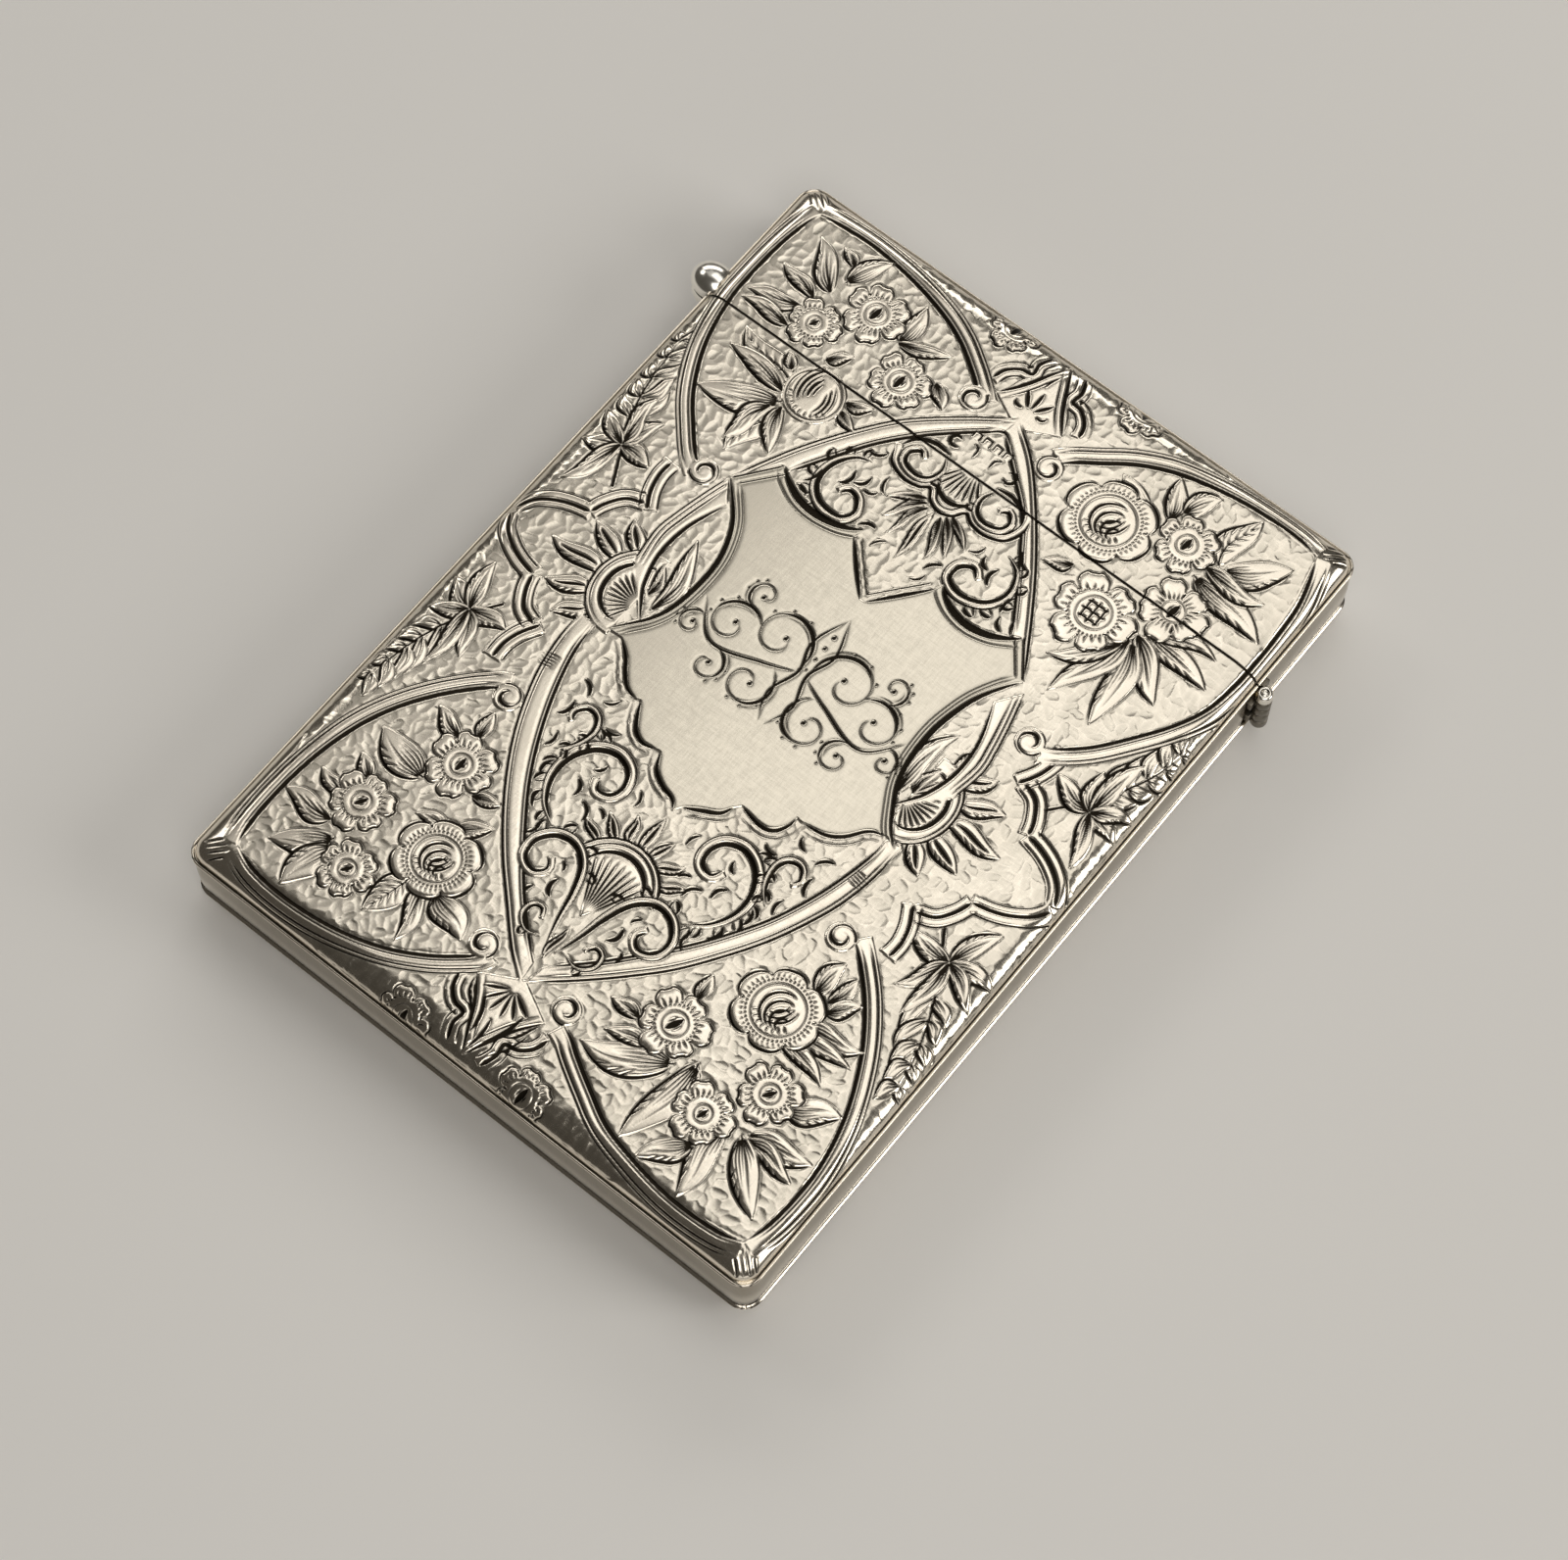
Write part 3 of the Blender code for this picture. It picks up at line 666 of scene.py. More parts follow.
def flourish(p):
    """A mirrored knot of hairline tendrils in the shield, in place of the owner's initials."""
    x0, y0 = -0.1, 2.9
    for s in (-1, 1):
        for dx, dy, radius, start, sweep, heavy in (
                (4.2, 2.2, 3.9, 215, -430, 0.34), (9.0, 0.4, 3.2, 160, -400, 0.3),
                (3.9, -3.6, 3.1, 110, 420, 0.3), (8.2, -4.6, 2.2, 70, 400, 0.24),
                (8.2, 5.0, 1.9, 260, 380, 0.22), (12.2, -2.0, 1.7, 120, -380, 0.2)):
            first = start if s > 0 else 180 - start
            line = arc(x0 + s * dx, y0 + dy, radius, first, first + s * sweep, 0.16, 60)
            p.trace(line, 0.12, "ends", dark=0.8)
            p.trace(line[3:24], heavy)
            p.trace(shifted(line, 0.4)[5:22], 0.11, dark=0.8)
            p.dot(line[-1][0], line[-1][1], 0.2)
            for k in (14, 19, 24):
                x, y = shifted(line, -0.42 if sweep * s > 0 else 0.42)[k]
                p.dot(x, y, 0.11)
        p.cut(pairs(x0 + s * 0.3, y0 - 6.2, x0 + s * 1.5, y0 - 3, x0 + s * 0.5, y0 + 0.6,
                    x0 + s * 1.4, y0 + 4, x0, y0 + 8.2), 0.24)
        p.cut(pairs(x0 + s * 13, y0 + 1.4, x0 + s * 9.4, y0 - 2.4, x0 + s * 4, y0 - 1,
                    x0, y0 + 0.6), 0.2)
    for k in range(4):
        p.dot(x0, y0 + 5.6 - 1.5 * k, 0.2 - 0.03 * k)


def crown(p):
    """Upper half of the vesica: shell, double arches, scrolls and a hanging leaf."""
    leaf(p, (-1, 25.6), (-1, 19.2), 1.1, "slit", 0.0)
    for s in (-1, 1):
        leaf(p, (-1 + s * 0.8, 25.8), (-1 + s * 2.4, 20.9), 0.9, "plain", 0.05 * s)
        leaf(p, (-1 + s * 1.2, 26.2), (-1 + s * 4.0, 22.2), 0.9, "plain", 0.05 * s)
        leaf(p, (-1 + s * 1.6, 26.6), (-1 + s * 5.0, 24.2), 0.8, "plain", 0.05 * s)
    arches = pairs(-8.9, 29.6, -8, 27.7, -6, 26.9, -4.2, 27.1, -3.1, 27.7, -2.2, 26.6, -0.8, 26.1,
                   0.6, 26.6, 1.5, 27.7, 2.6, 27.1, 4.4, 26.9, 6.4, 27.7, 7.3, 29.6, 7, 31.4)
    p.band(arches, 1, 0.75, ((0, 0.26), (0.7, 0.15)))
    fan(p, -0.8, 33, 1.8, 4.9, -124, -56, 8, 0.2)
    p.cut(pairs(-3, 28.9, -1.9, 27.9, -0.8, 27.6, 0.3, 27.9, 1.4, 28.9), 0.42)
    for s, dx in ((-1, -1.6), (1, 0.0)):
        scroll = pairs(4.1, 29.8, 4.8, 30.4, 5.6, 29.6, 5.2, 28.5, 3.6, 28, 2.3, 28.6, 1.8, 30,
                       2.4, 31.6)
        vine(p, mirrored(scroll, s, 1, dx), s, 0.7, 0.5, (0.7, 0.9, 1))
        p.cut(mirrored(pairs(2, 31.9, 4.2, 32.1, 6, 31.3, 6.8, 29.8), s, 1, dx), 0.4)
    for s in (-1, 1):
        x = -0.9 + s * 3.0
        p.cut(pairs(x - s * 0.3, 33.2, x + s * 0.5, 33, x + s * 1.1, 33.6, x + s * 0.7, 34.3,
                    x - s * 0.1, 34.1), 0.34)
        p.cut(pairs(x - s * 2.0, 33, x - s * 1.9, 34.3, x - s * 1.1, 34.6), 0.2)
    vine(p, pairs(-9.9, 21.5, -9.2, 22.4, -8, 22, -7.4, 20.6, -8.4, 19.4, -10.8, 19.6, -12.4, 21.3,
                  -12.4, 23.6, -11.2, 25.6, -9.4, 26.4), 1, 0.85, 0.6, (0.45, 0.95, 6))
    vine(p, pairs(6.9, 22.4, 5.9, 23.3, 4.7, 22.6, 4.7, 21, 6.6, 20.2, 9, 21, 10.2, 23, 9.6, 25.4,
                  7.8, 26.6), -1, 0.85, 0.6, (0.45, 0.95, 6))
    commas(p, [(-10.8, 22.4, -10.2, 24.6, 0.36, -0.25), (-9.6, 23.4, -8.4, 25, 0.34, -0.25),
               (-8.4, 23.4, -6.8, 24, 0.26, -0.2), (-13.6, 20.4, -12.9, 22.6, 0.3, -0.15),
               (-14, 19.6, -12.2, 19, 0.22, 0.2), (-10.6, 27.2, -8.8, 28.2, 0.3, -0.2),
               (-6.2, 24.2, -7, 26.2, 0.24, 0.2), (-6.2, 19.8, -4.4, 20.6, 0.3, 0.25),
               (-3.8, 18.6, -2.6, 20.2, 0.2, 0.2), (8.2, 22.6, 8, 24.8, 0.36, 0.25),
               (7.2, 24, 6, 25.2, 0.34, 0.25), (11, 21, 11.2, 23.4, 0.3, 0.15),
               (12.4, 19.4, 11.2, 20.8, 0.28, 0.2), (10.4, 26.4, 8.6, 28, 0.3, 0.2),
               (3.4, 21.6, 2, 20, 0.3, -0.2), (5.4, 26, 4.2, 24.6, 0.24, 0.2),
               (12.6, 21.6, 13.4, 19.6, 0.22, -0.1), (1.4, 18.4, 2.6, 19.8, 0.22, -0.2)])
    p.cut(pairs(-3, 35.8, -1.2, 37.4, 0.5, 36.5), 0.2)
    for k in range(4):
        x = -3.0 + 1.3 * k
        p.fill(pairs(x - 0.42, 34.9, x + 0.42, 34.9, x + 0.42, 35.9, x - 0.42, 35.9), -0.04)
        p.trace(pairs(x - 0.42, 34.9, x - 0.42, 35.8, x + 0.42, 35.8, x + 0.42, 34.9), 0.14,
              "ends")


def foot(p):
    """Lower half of the vesica: four scrolls, a palmette and feathers from the point."""
    for x0, y0, x1, y1, w in ((-0.6, -21.4, -0.6, -17, 1.2), (-1.8, -21.4, -3, -18.4, 1.0),
                              (0.6, -21.4, 1.8, -18.4, 1.0), (-2.8, -22, -5.4, -19.8, 1.0),
                              (1.6, -22, 4.2, -19.8, 1.0), (-4.2, -23, -7, -21.6, 0.9),
                              (3, -23, 5.8, -21.6, 0.9)):
        leaf(p, (x0, y0), (x1, y1), w, "slit", 0.0)
    p.fill(arc(-0.6, -25.9, 5.0, 8, 172), 0.03)
    p.cut(arc(-0.6, -25.9, 5.0, 14, 166), 0.22, "ends")
    p.cut(arc(-0.6, -25.9, 4.4, 12, 168), 0.15, "ends")
    p.cut(arc(-0.6, -25.9, 3.5, 5, 175), 0.4)
    p.fill(arc(-0.6, -25.9, 3.1, 20, 160) + [(-0.6, -30)], 0.0, 0.05, 0.8)
    fan(p, -0.6, -30.2, 1.2, 7.0, 64, 116, 9, 0.2)
    for sx, dx in ((1, 0.0), (-1, -1.4)):
        def m(*values):
            return mirrored(pairs(*values), sx, 1, dx)

        vine(p, m(-8.5, -17.7, -7.8, -18.8, -6.5, -18.4, -6.1, -17, -6.9, -15.4, -8.8, -14.8,
                  -10.8, -15.7, -12.1, -17.8, -12.2, -20.4, -11, -22.8, -9, -24.4), -sx, 0.95,
             0.62, (0.42, 0.92, 7))
        vine(p, m(-7, -27.2, -6.4, -28.3, -7.4, -29.2, -8.9, -28.4, -9.1, -26.6, -7.8, -25,
                  -5.8, -24.7, -4, -26, -2.9, -28.6, -2.2, -31.6, -1.3, -34.6), sx, 0.8, 0.55,
             (0.3, 0.6, 4))
        vine(p, m(-3.6, -32.6, -4, -31.8, -4.9, -32, -5, -33.2, -3.9, -34.2, -2.4, -34), -sx, 0.5,
             0.34, (0.7, 0.9, 1))
        vine(p, m(-14.4, -14.6, -14.9, -13.9, -14.2, -12.8, -12.9, -13, -12.3, -14.4, -12.8, -16.4,
                  -14, -18), sx, 0.6, 0.42, (0.5, 0.9, 3))
        commas(p, [
            (-9.6, -17.4, -8.7, -16.2, 0.3, -0.2), (-10.2, -19, -9.4, -20.8, 0.34, 0.25),
            (-8.4, -20.6, -7, -22.4, 0.3, 0.25), (-6.6, -20.2, -5.4, -21, 0.26, 0.2),
            (-16.6, -10.4, -15, -11.8, 0.3, 0.2), (-15.8, -12.8, -16.4, -15, 0.34, 0.2),
            (-15, -16.4, -15.2, -18.4, 0.3, 0.2), (-13.2, -19, -13.4, -21, 0.34, -0.2),
            (-12.2, -22.2, -11.6, -24.2, 0.3, -0.2), (-4.6, -16.2, -4, -18, 0.24, 0.2),
            (-4.8, -28.4, -4.2, -30.4, 0.4, -0.25), (-6.2, -30.4, -6.4, -31.8, 0.3, -0.2),
            (-10, -24.8, -10.8, -26.8, 0.26, 0.2), (-5.8, -26.6, -5, -27.6, 0.24, 0.2),
            (-12.2, -10, -13.6, -11.2, 0.26, 0.2), (-9.8, -12.8, -11.6, -13.2, 0.24, 0.2)], sx, dx)
    leaf(p, (-0.7, -35.6), (-0.7, -31.4), 0.8, "slit", 0.0)


def short_sides(p):
    """Ogee points, lobes, darts and marks in the middle of the two ends."""
    x = -0.4
    for way in (1, -1):
        for s in (-1, 1):
            lobe = mirrored(pairs(5.6, 41.6, 5.1, 43.2, 3.9, 44.3, 2.6, 44.6, 2.7, 46, 2.0, 47.8),
                            s, way, x)
            p.band(lobe, s * way, 0.9, ((0, 0.34), (0.85, 0.15)))
            p.trace(shifted(spline(lobe), -0.8 * s * way), 0.14)
            leaf(p, (s * 1.5 + x, way * 44.2), (s * 4.0 + x, way * 40.9), 1.1, "slit", 0.0)
        point = pairs(4.2, 40.6, 2.5, 43, 1.2, 45.5, 0.1, 47.8)
        outline = mirrored(point, 1, way, x) + mirrored(point[::-1], -1, way, x)
        p.fill(outline + [(x, way * 38.4)], 0.02)
        for s in (-1, 1):
            line = spline(mirrored(point, s, way, x))
            p.trace(line, 0.34)
            p.trace(shifted(line, 0.75 * s * way), 0.14)
    fan(p, -0.6, 40.6, 0.6, 2.9, 55, 125, 3, 0.34)
    commas(p, [(-1.4, 40.9, -2.6, 41.4, 0.24, 0.3), (0.2, 40.9, 1.4, 41.4, 0.24, -0.3),
               (-1.0, 44, -0.4, 46, 0.2, 0.1), (-0.5, -43.4, -0.5, -47.2, 0.3, 0.08),
               (1.8, -41.4, 0.4, -45.8, 0.4, 0.08), (-2.6, -41.8, -1.2, -45.8, 0.34, 0.08),
               (3.4, -42.4, 1.6, -46.6, 0.24, 0.08)])
    fan(p, -0.6, -39.8, 0.4, 3.2, 208, 332, 6, 0.28)


def engrave(p):
    """Everything on the front, drawn in the order in which it lies."""
    for place in END_FLOWERS:
        flower(p, *place)
    short_sides(p)
    sprigs(p)
    side_frames(p)
    corners(p)
    for points, side in ARMS:
        p.band(points, side, 1.75, ((0, 0.36), (0.42, 0.12), (1.3, 0.16), (1.7, 0.13)))
    for (points, side), (x, y, turn) in zip(ARMS, VOLUTES):
        volute(p, x, y, shifted(spline(points), side * 1.7)[-1], turn)
    vesica(p)
    side_lenses(p)
    crown(p)
    foot(p)
    shield(p)
    flourish(p)
    for x0, y0, x1, y1, *rest in LEAVES:
        leaf(p, (x0, y0), (x1, y1), *rest)
    rose_bud(p, -18.8, 28.6)
    for place in ROSES:
        rose(p, *place)
    for place in FLOWERS:
        flower(p, *place)


def rose_bud(p, x, y):
    """A round bud with folded petals."""
    p.fill(arc(x, y, 3.3, 0, 360, count=30), 0.03, 0.06, 0.9)
    p.cut(arc(x, y, 2.9, 0, 360), 0.15, "none", dark=0.8)
    for k in range(5):
        p.cut(arc(x + 1.7, y + 0.6, 3.9 - 0.5 * k, 128 + 5 * k, 222 - 4 * k),
              (0.16, 0.3, 0.2, 0.34, 0.2)[k])
    for k in range(3):
        p.cut(arc(x - 1.4, y - 0.5, 3.6 - 0.45 * k, -32, 50 - 8 * k), (0.15, 0.26, 0.2)[k])
    fan(p, x, y, 2.1, 2.8, 205, 330, 9, 0.12)


def engrave_back(p):
    """The back is a guess: the same ribbons round a plain middle."""
    corners(p)
    for points, side in ARMS:
        p.band(points, side, 1.75, ((0, 0.4), (1.5, 0.3)))
    outline = [(24 * math.cos(t) * (1 - 0.12 * abs(math.cos(t))), 33 * math.sin(t))
               for t in (2 * math.pi * k / 90 for k in range(90))]
    p.fill(outline, 0.03)
    p.cut(outline + outline[:1], 0.4, "none")
    p.cut([(x * 0.96, y * 0.96) for x, y in outline + outline[:1]], 0.3, "none")


# ---- meshes ---------------------------------------------------------------------------
def margin_rows(step):
    """Inset and height above the arris, from the arris to the flat field: a small bead,
    the line beside it, then the long convex margin."""
    rows = [(0.0, 0.0), (0.0, 0.12), (0.05, 0.2), (0.14, 0.24), (0.23, 0.2), (0.29, 0.12),
            (0.35, 0.07), (0.4, 0.1)]
    count = int(4.0 / step)
    for k in range(1, count + 1):
        angle = math.pi / 2 * k / count
        rows.append((0.42 + 3.18 * (1 - math.cos(angle)),
                     MARGIN_FOOT + MARGIN_RISE * math.sin(angle)))
    return rows


def panel_grid(lid, step):
    """Axes and base surface of a panel: x, y and height above the arris, in mm."""
    rows = margin_rows(step)
    n = len(rows) - 1
    inset = np.array([r[0] for r in rows])
    rise = np.array([r[1] for r in rows])
    wide = np.linspace(-HALF_W + MARGIN, HALF_W - MARGIN, int(2 * (HALF_W - MARGIN) / step) + 1)
    xs = np.concatenate([-HALF_W + inset[:-1], wide, HALF_W - inset[:-1][::-1]])
    if lid:
        low, high = SEAM + SEAM_GAP, HALF_L - MARGIN
        mid = np.linspace(low, high, int((high - low) / step) + 1)
        ys = np.concatenate([mid, HALF_L - inset[:-1][::-1]])
        ring_y = np.minimum(n, np.arange(len(ys))[::-1])
    else:
        low, high = -HALF_L + MARGIN, SEAM - SEAM_GAP
        mid = np.linspace(low, high, int((high - low) / step) + 1)
        ys = np.concatenate([-HALF_L + inset[:-1], mid])
        ring_y = np.minimum(n, np.arange(len(ys)))
    ring_x = np.minimum(n, np.minimum(np.arange(len(xs)), np.arange(len(xs))[::-1]))
    gx, gy = np.meshgrid(xs, ys)
    ring = np.minimum(ring_x[None, :], ring_y[:, None])
    gz = rise[ring]
    sy = 1 if lid else -1
    for j in np.nonzero(ring_y < n)[0]:
        for i in np.nonzero(ring_x < n)[0]:
            a, b = ring_x[i], ring_y[j]
            k = min(a, b)
            s = inset[k]
            r = 2.2 * (1 - s / MARGIN) ** 1.2
            side = MARGIN - s - r
            t = (n - b) if a <= b else (n - k) + (a - k)
            run = t / (2 * (n - k)) * (2 * side + r * math.pi / 2)
            if run < side:
                px, py = s, MARGIN - run
            elif run < side + r * math.pi / 2:
                angle = (run - side) / r
                px, py = s + r - r * math.cos(angle), s + r - r * math.sin(angle)
            else:
                px, py = s + r + run - side - r * math.pi / 2, s
            sx = 1 if xs[i] > 0 else -1
            gx[j, i] = sx * (HALF_W - px)
            gy[j, i] = sy * (HALF_L - py)
    return xs, ys, gx, gy, gz


def grid_normals(gx, gy, gz):
    """Unit normals of a grid of points."""
    u, v = (np.stack([np.gradient(values, axis=axis) for values in (gx, gy, gz)], -1)
            for axis in (1, 0))
    normal = np.cross(u, v)
    size = np.linalg.norm(normal, axis=-1, keepdims=True)
    return normal / np.maximum(size, 1e-9)


def quads_of(index):
    """The quads of a grid of vertex numbers."""
    quads = np.stack([index[:-1, :-1], index[:-1, 1:], index[1:, 1:], index[1:, :-1]], -1)
    return quads.reshape(-1, 4)


def grid_faces(rows, cols, start=0):
    return quads_of(start + np.arange(rows * cols).reshape(rows, cols))


def add_object(name, mesh, materials, sharp):
    """Smooth object in the scene; edges sharper than that many degrees stay sharp."""
    for material in materials:
        mesh.materials.append(material)
    mesh.shade_smooth()
    if sharp:
        mesh.set_sharp_from_angle(angle=math.radians(sharp))
    obj = bpy.data.objects.new(name, mesh)
    bpy.context.scene.collection.objects.link(obj)
    return obj


def from_bmesh(name, bm, material, sharp):
    """Object from a finished bmesh, which is freed."""
    mesh = bpy.data.meshes.new(name)
    bm.to_mesh(mesh)
    bm.free()
    return add_object(name, mesh, [material], sharp)


def make_mesh(name, verts, quads, materials, attributes=None, sharp=None, slots=None):
    """Mesh object from arrays of points in mm and quads."""
    mesh = bpy.data.meshes.new(name)
    verts = np.asarray(verts * MM, np.float32)
    quads = np.asarray(quads, np.int32)
    mesh.vertices.add(len(verts))
    mesh.vertices.foreach_set("co", verts.ravel())
    mesh.loops.add(quads.size)
    mesh.loops.foreach_set("vertex_index", quads.ravel())
    mesh.polygons.add(len(quads))
    mesh.polygons.foreach_set("loop_start", np.arange(0, quads.size, 4, dtype=np.int32))
    mesh.update(calc_edges=True)
    mesh.validate()
    for key, values in (attributes or {}).items():
        layer = mesh.attributes.new(key, "FLOAT", "POINT")
        layer.data.foreach_set("value", np.asarray(values, np.float32).ravel())
    obj = add_object(name, mesh, materials, sharp)
    if slots is not None:
        mesh.polygons.foreach_set("material_index", np.asarray(slots, np.int32))
    return obj


def seam_and_bead_shade(gx, gy, gz, lid):
    """Painted shade: darkening in the hollow beside the bead along the arris, and along the seam
    between body and lid.
    """
    edge_x, edge_y = HALF_W - np.abs(gx), HALF_L - np.abs(gy)
    if not lid:
        edge_y = np.where(gy > 0, HALF_L, edge_y)
    inset = np.minimum(edge_x, edge_y)
    seat = np.clip(1 - np.abs(inset - 0.36) / 0.13, 0, 1) * (gz < 0.6)
    seam = np.clip(1.6 - np.abs(gy - SEAM) / 0.13, 0, 1)
    return np.maximum(seat, seam * (gz > 0.3))


def panel(name, lid, front):
    """One panel with its relief, its cut edges and its plain inner face."""
    step = STEP if front else BACK_STEP
    xs, ys, gx, gy, gz = panel_grid(lid, step)
    plate = Plate(xs, ys, gx, gy)
    (engrave if front else engrave_back)(plate)
    deep, tone = plate.scoops()
    g = plate.ground
    height = plate.relief - g * (0.04 + 0.055 * deep)
    height -= 0.08 * plate.groove + 0.08 * plate.soften(plate.groove, 0.17 / step)
    fade = np.clip((gz - 0.35) / 0.3, 0, 1)
    height *= fade
    normal = grid_normals(gx, gy, gz)
    base = np.stack([gx, gy, gz], -1)
    point = base + normal * height[..., None]
    inner = base - normal * SHEET
    inner[..., 2] = np.maximum(inner[..., 2], 0.02)
    rows, cols = gx.shape
    cut_patina_and_shade = np.clip(plate.groove, 0, 1) * fade
    # painted shade in the hollow beside the bead and along the seam, added to the dark of the cuts
    cut_patina_and_shade = np.maximum(cut_patina_and_shade, 0.9 * seam_and_bead_shade(gx, gy, gz, lid))
    # the outer skin, a rim along its border and a coarser inner face
    count = rows * cols
    index = np.arange(count).reshape(rows, cols)
    border = np.concatenate([index[0, :-1], index[:-1, -1], index[-1, :0:-1], index[:0:-1, 0]])
    below = count + np.arange(len(border))
    rim = np.stack([border, np.roll(border, -1), np.roll(below, -1), below], -1)[:, ::-1]
    coarse = []
    for size in (rows, cols):
        close = np.arange(0, 36, 3)
        coarse.append(np.unique(np.concatenate([np.arange(0, size, 12), [size - 1], close,
                                                size - 1 - close])))
    verts = np.concatenate([point.reshape(-1, 3), inner.reshape(-1, 3)[border],
                            inner[np.ix_(*coarse)].reshape(-1, 3)])
    verts[:, 2] += ARRIS
    back = grid_faces(len(coarse[0]), len(coarse[1]), count + len(border))[:, ::-1]
    quads = np.concatenate([grid_faces(rows, cols), rim, back])
    if not front:
        verts[:, 2] = THICKNESS - verts[:, 2]
        quads = quads[:, ::-1]
    rest = np.zeros(len(verts) - count)
    attributes = {key: np.concatenate([values.ravel(), rest]) for key, values in (
        ("cut_patina_and_shade", cut_patina_and_shade), ("ground", g * fade), ("tone", tone), ("plain", plate.plain))}
    return make_mesh(name, verts, quads, [face_silver, gilt], attributes,
                     slots=np.arange(len(quads)) >= len(quads) - len(back))


def outline_points(half_w, half_l, radius, y_from, y_to, lid):
    """Half of the case's outline, from the hinge side round the end to the thumb side."""
    sy = 1 if lid else -1
    in_w, in_l = half_w - radius, half_l - radius

    def corner(side, first):
        return [(side * in_w + radius * math.cos(a), sy * (in_l + radius * math.sin(a)))
                for a in (math.pi / 2 * (first + k / 14) for k in range(1, 15))]

    points = [(half_w, y) for y in np.linspace(y_from, sy * in_l, 40)] + corner(1, 0)
    points += [(x, sy * half_l) for x in np.linspace(in_w, -in_w, 40)][1:] + corner(-1, 1)
    points += [(-half_w, y) for y in np.linspace(sy * in_l, y_to, 40)][1:]
    return np.array(points)


def side_band(name, lid):
    """The side wall: barely bowed, turned in at both rims, with its inner face."""
    start, end = (SEAM + 1.8, SEAM + 0.15) if lid else (SEAM - 1.8, SEAM - 0.15)
    setback, radius = 0.25, 1.95  # of the wall behind the arris, and of its corners
    section = [(0.75, 2.22), (0.2, 1.98), (0.02, 2.05), (-0.03, 2.3), (-0.07, 2.9),
               (-0.13, 4.0), (-0.16, 5.5), (-0.13, 7.0), (-0.07, 8.1), (-0.03, 8.7),
               (0.02, 8.95), (0.2, 9.02), (0.75, 8.78), (0.62, 5.5)]
    rings = []
    for inset, z in section:
        out = setback + inset
        outline = outline_points(HALF_W - out, HALF_L - out, max(radius - inset, 0.5), start,
                                 end, lid)
        rings.append(np.column_stack([outline, np.full(len(outline), z)]))
    n_points = len(rings[0])
    index = np.arange(len(rings) * n_points).reshape(len(rings), n_points)
    index = np.concatenate([index, index[:1]])
    quads = quads_of(index)
    slots = np.repeat(np.arange(len(rings)) >= len(rings) - 2, n_points - 1)
    if not lid:
        quads = quads[:, ::-1]
    caps = [[column[k], column[k + 1], column[-2 - k], column[-1 - k]]
            for column in (index[:-1, 0], index[:-1, -1]) for k in range(len(rings) // 2 - 1)]
    quads = np.concatenate([quads, np.array(caps)])
    slots = np.concatenate([slots, np.zeros(len(caps), bool)])
    return make_mesh(name, np.concatenate(rings), quads, [wall_silver_painted_shade, gilt], sharp=40,
                     slots=slots)


# ---- materials ------------------------------------------------------------------------
class Nodes:
    """Short hand for building a node tree."""

    def __init__(self, name):
        self.material = bpy.data.materials.new(name)
        self.material.use_nodes = True
        self.tree = self.material.node_tree
        self.shader = self.tree.nodes["Principled BSDF"]
        self.coords = self.add("ShaderNodeTexCoord").outputs["Object"]

    def add(self, kind, inputs=None, **settings):
        node = self.tree.nodes.new(kind)
        for key, value in settings.items():
            setattr(node, key, value)
        for key, value in (inputs or {}).items():
            self.plug(value, node.inputs[key])
        return node

    def plug(self, value, socket):
        """Links a node or one of its outputs to the socket, or sets a plain value."""
        if isinstance(value, bpy.types.NodeSocket):
            self.tree.links.new(value, socket)
        elif isinstance(value, bpy.types.Node):
            self.tree.links.new(value.outputs[0], socket)
        else:
            socket.default_value = value

    def noise(self, scale, detail, stretch=None, rough=0.5):
        vector = self.coords
        if stretch:
            vector = self.add("ShaderNodeMapping", {"Vector": vector, "Scale": stretch})
        return self.add("ShaderNodeTexNoise", {"Vector": vector, "Scale": scale,
                                               "Detail": detail, "Roughness": rough})

    def map(self, value, low, high, out_low, out_high):
        return self.add("ShaderNodeMapRange", {"Value": value, "From Min": low, "From Max": high,
                                               "To Min": out_low, "To Max": out_high})

    def mix(self, factor, a, b):
        node = self.tree.nodes.new("ShaderNodeMix")
        node.data_type = "RGBA"
        self.plug(factor, node.inputs[0])
        self.plug(a, node.inputs[6])
        self.plug(b, node.inputs[7])
        return node.outputs[2]

    def math(self, operation, a, b):
        node = self.add("ShaderNodeMath", operation=operation)
        self.plug(a, node.inputs[0])
        self.plug(b, node.inputs[1])
        return node.outputs[0]

    def attribute(self, name):
        return self.add("ShaderNodeAttribute", attribute_name=name).outputs["Fac"]


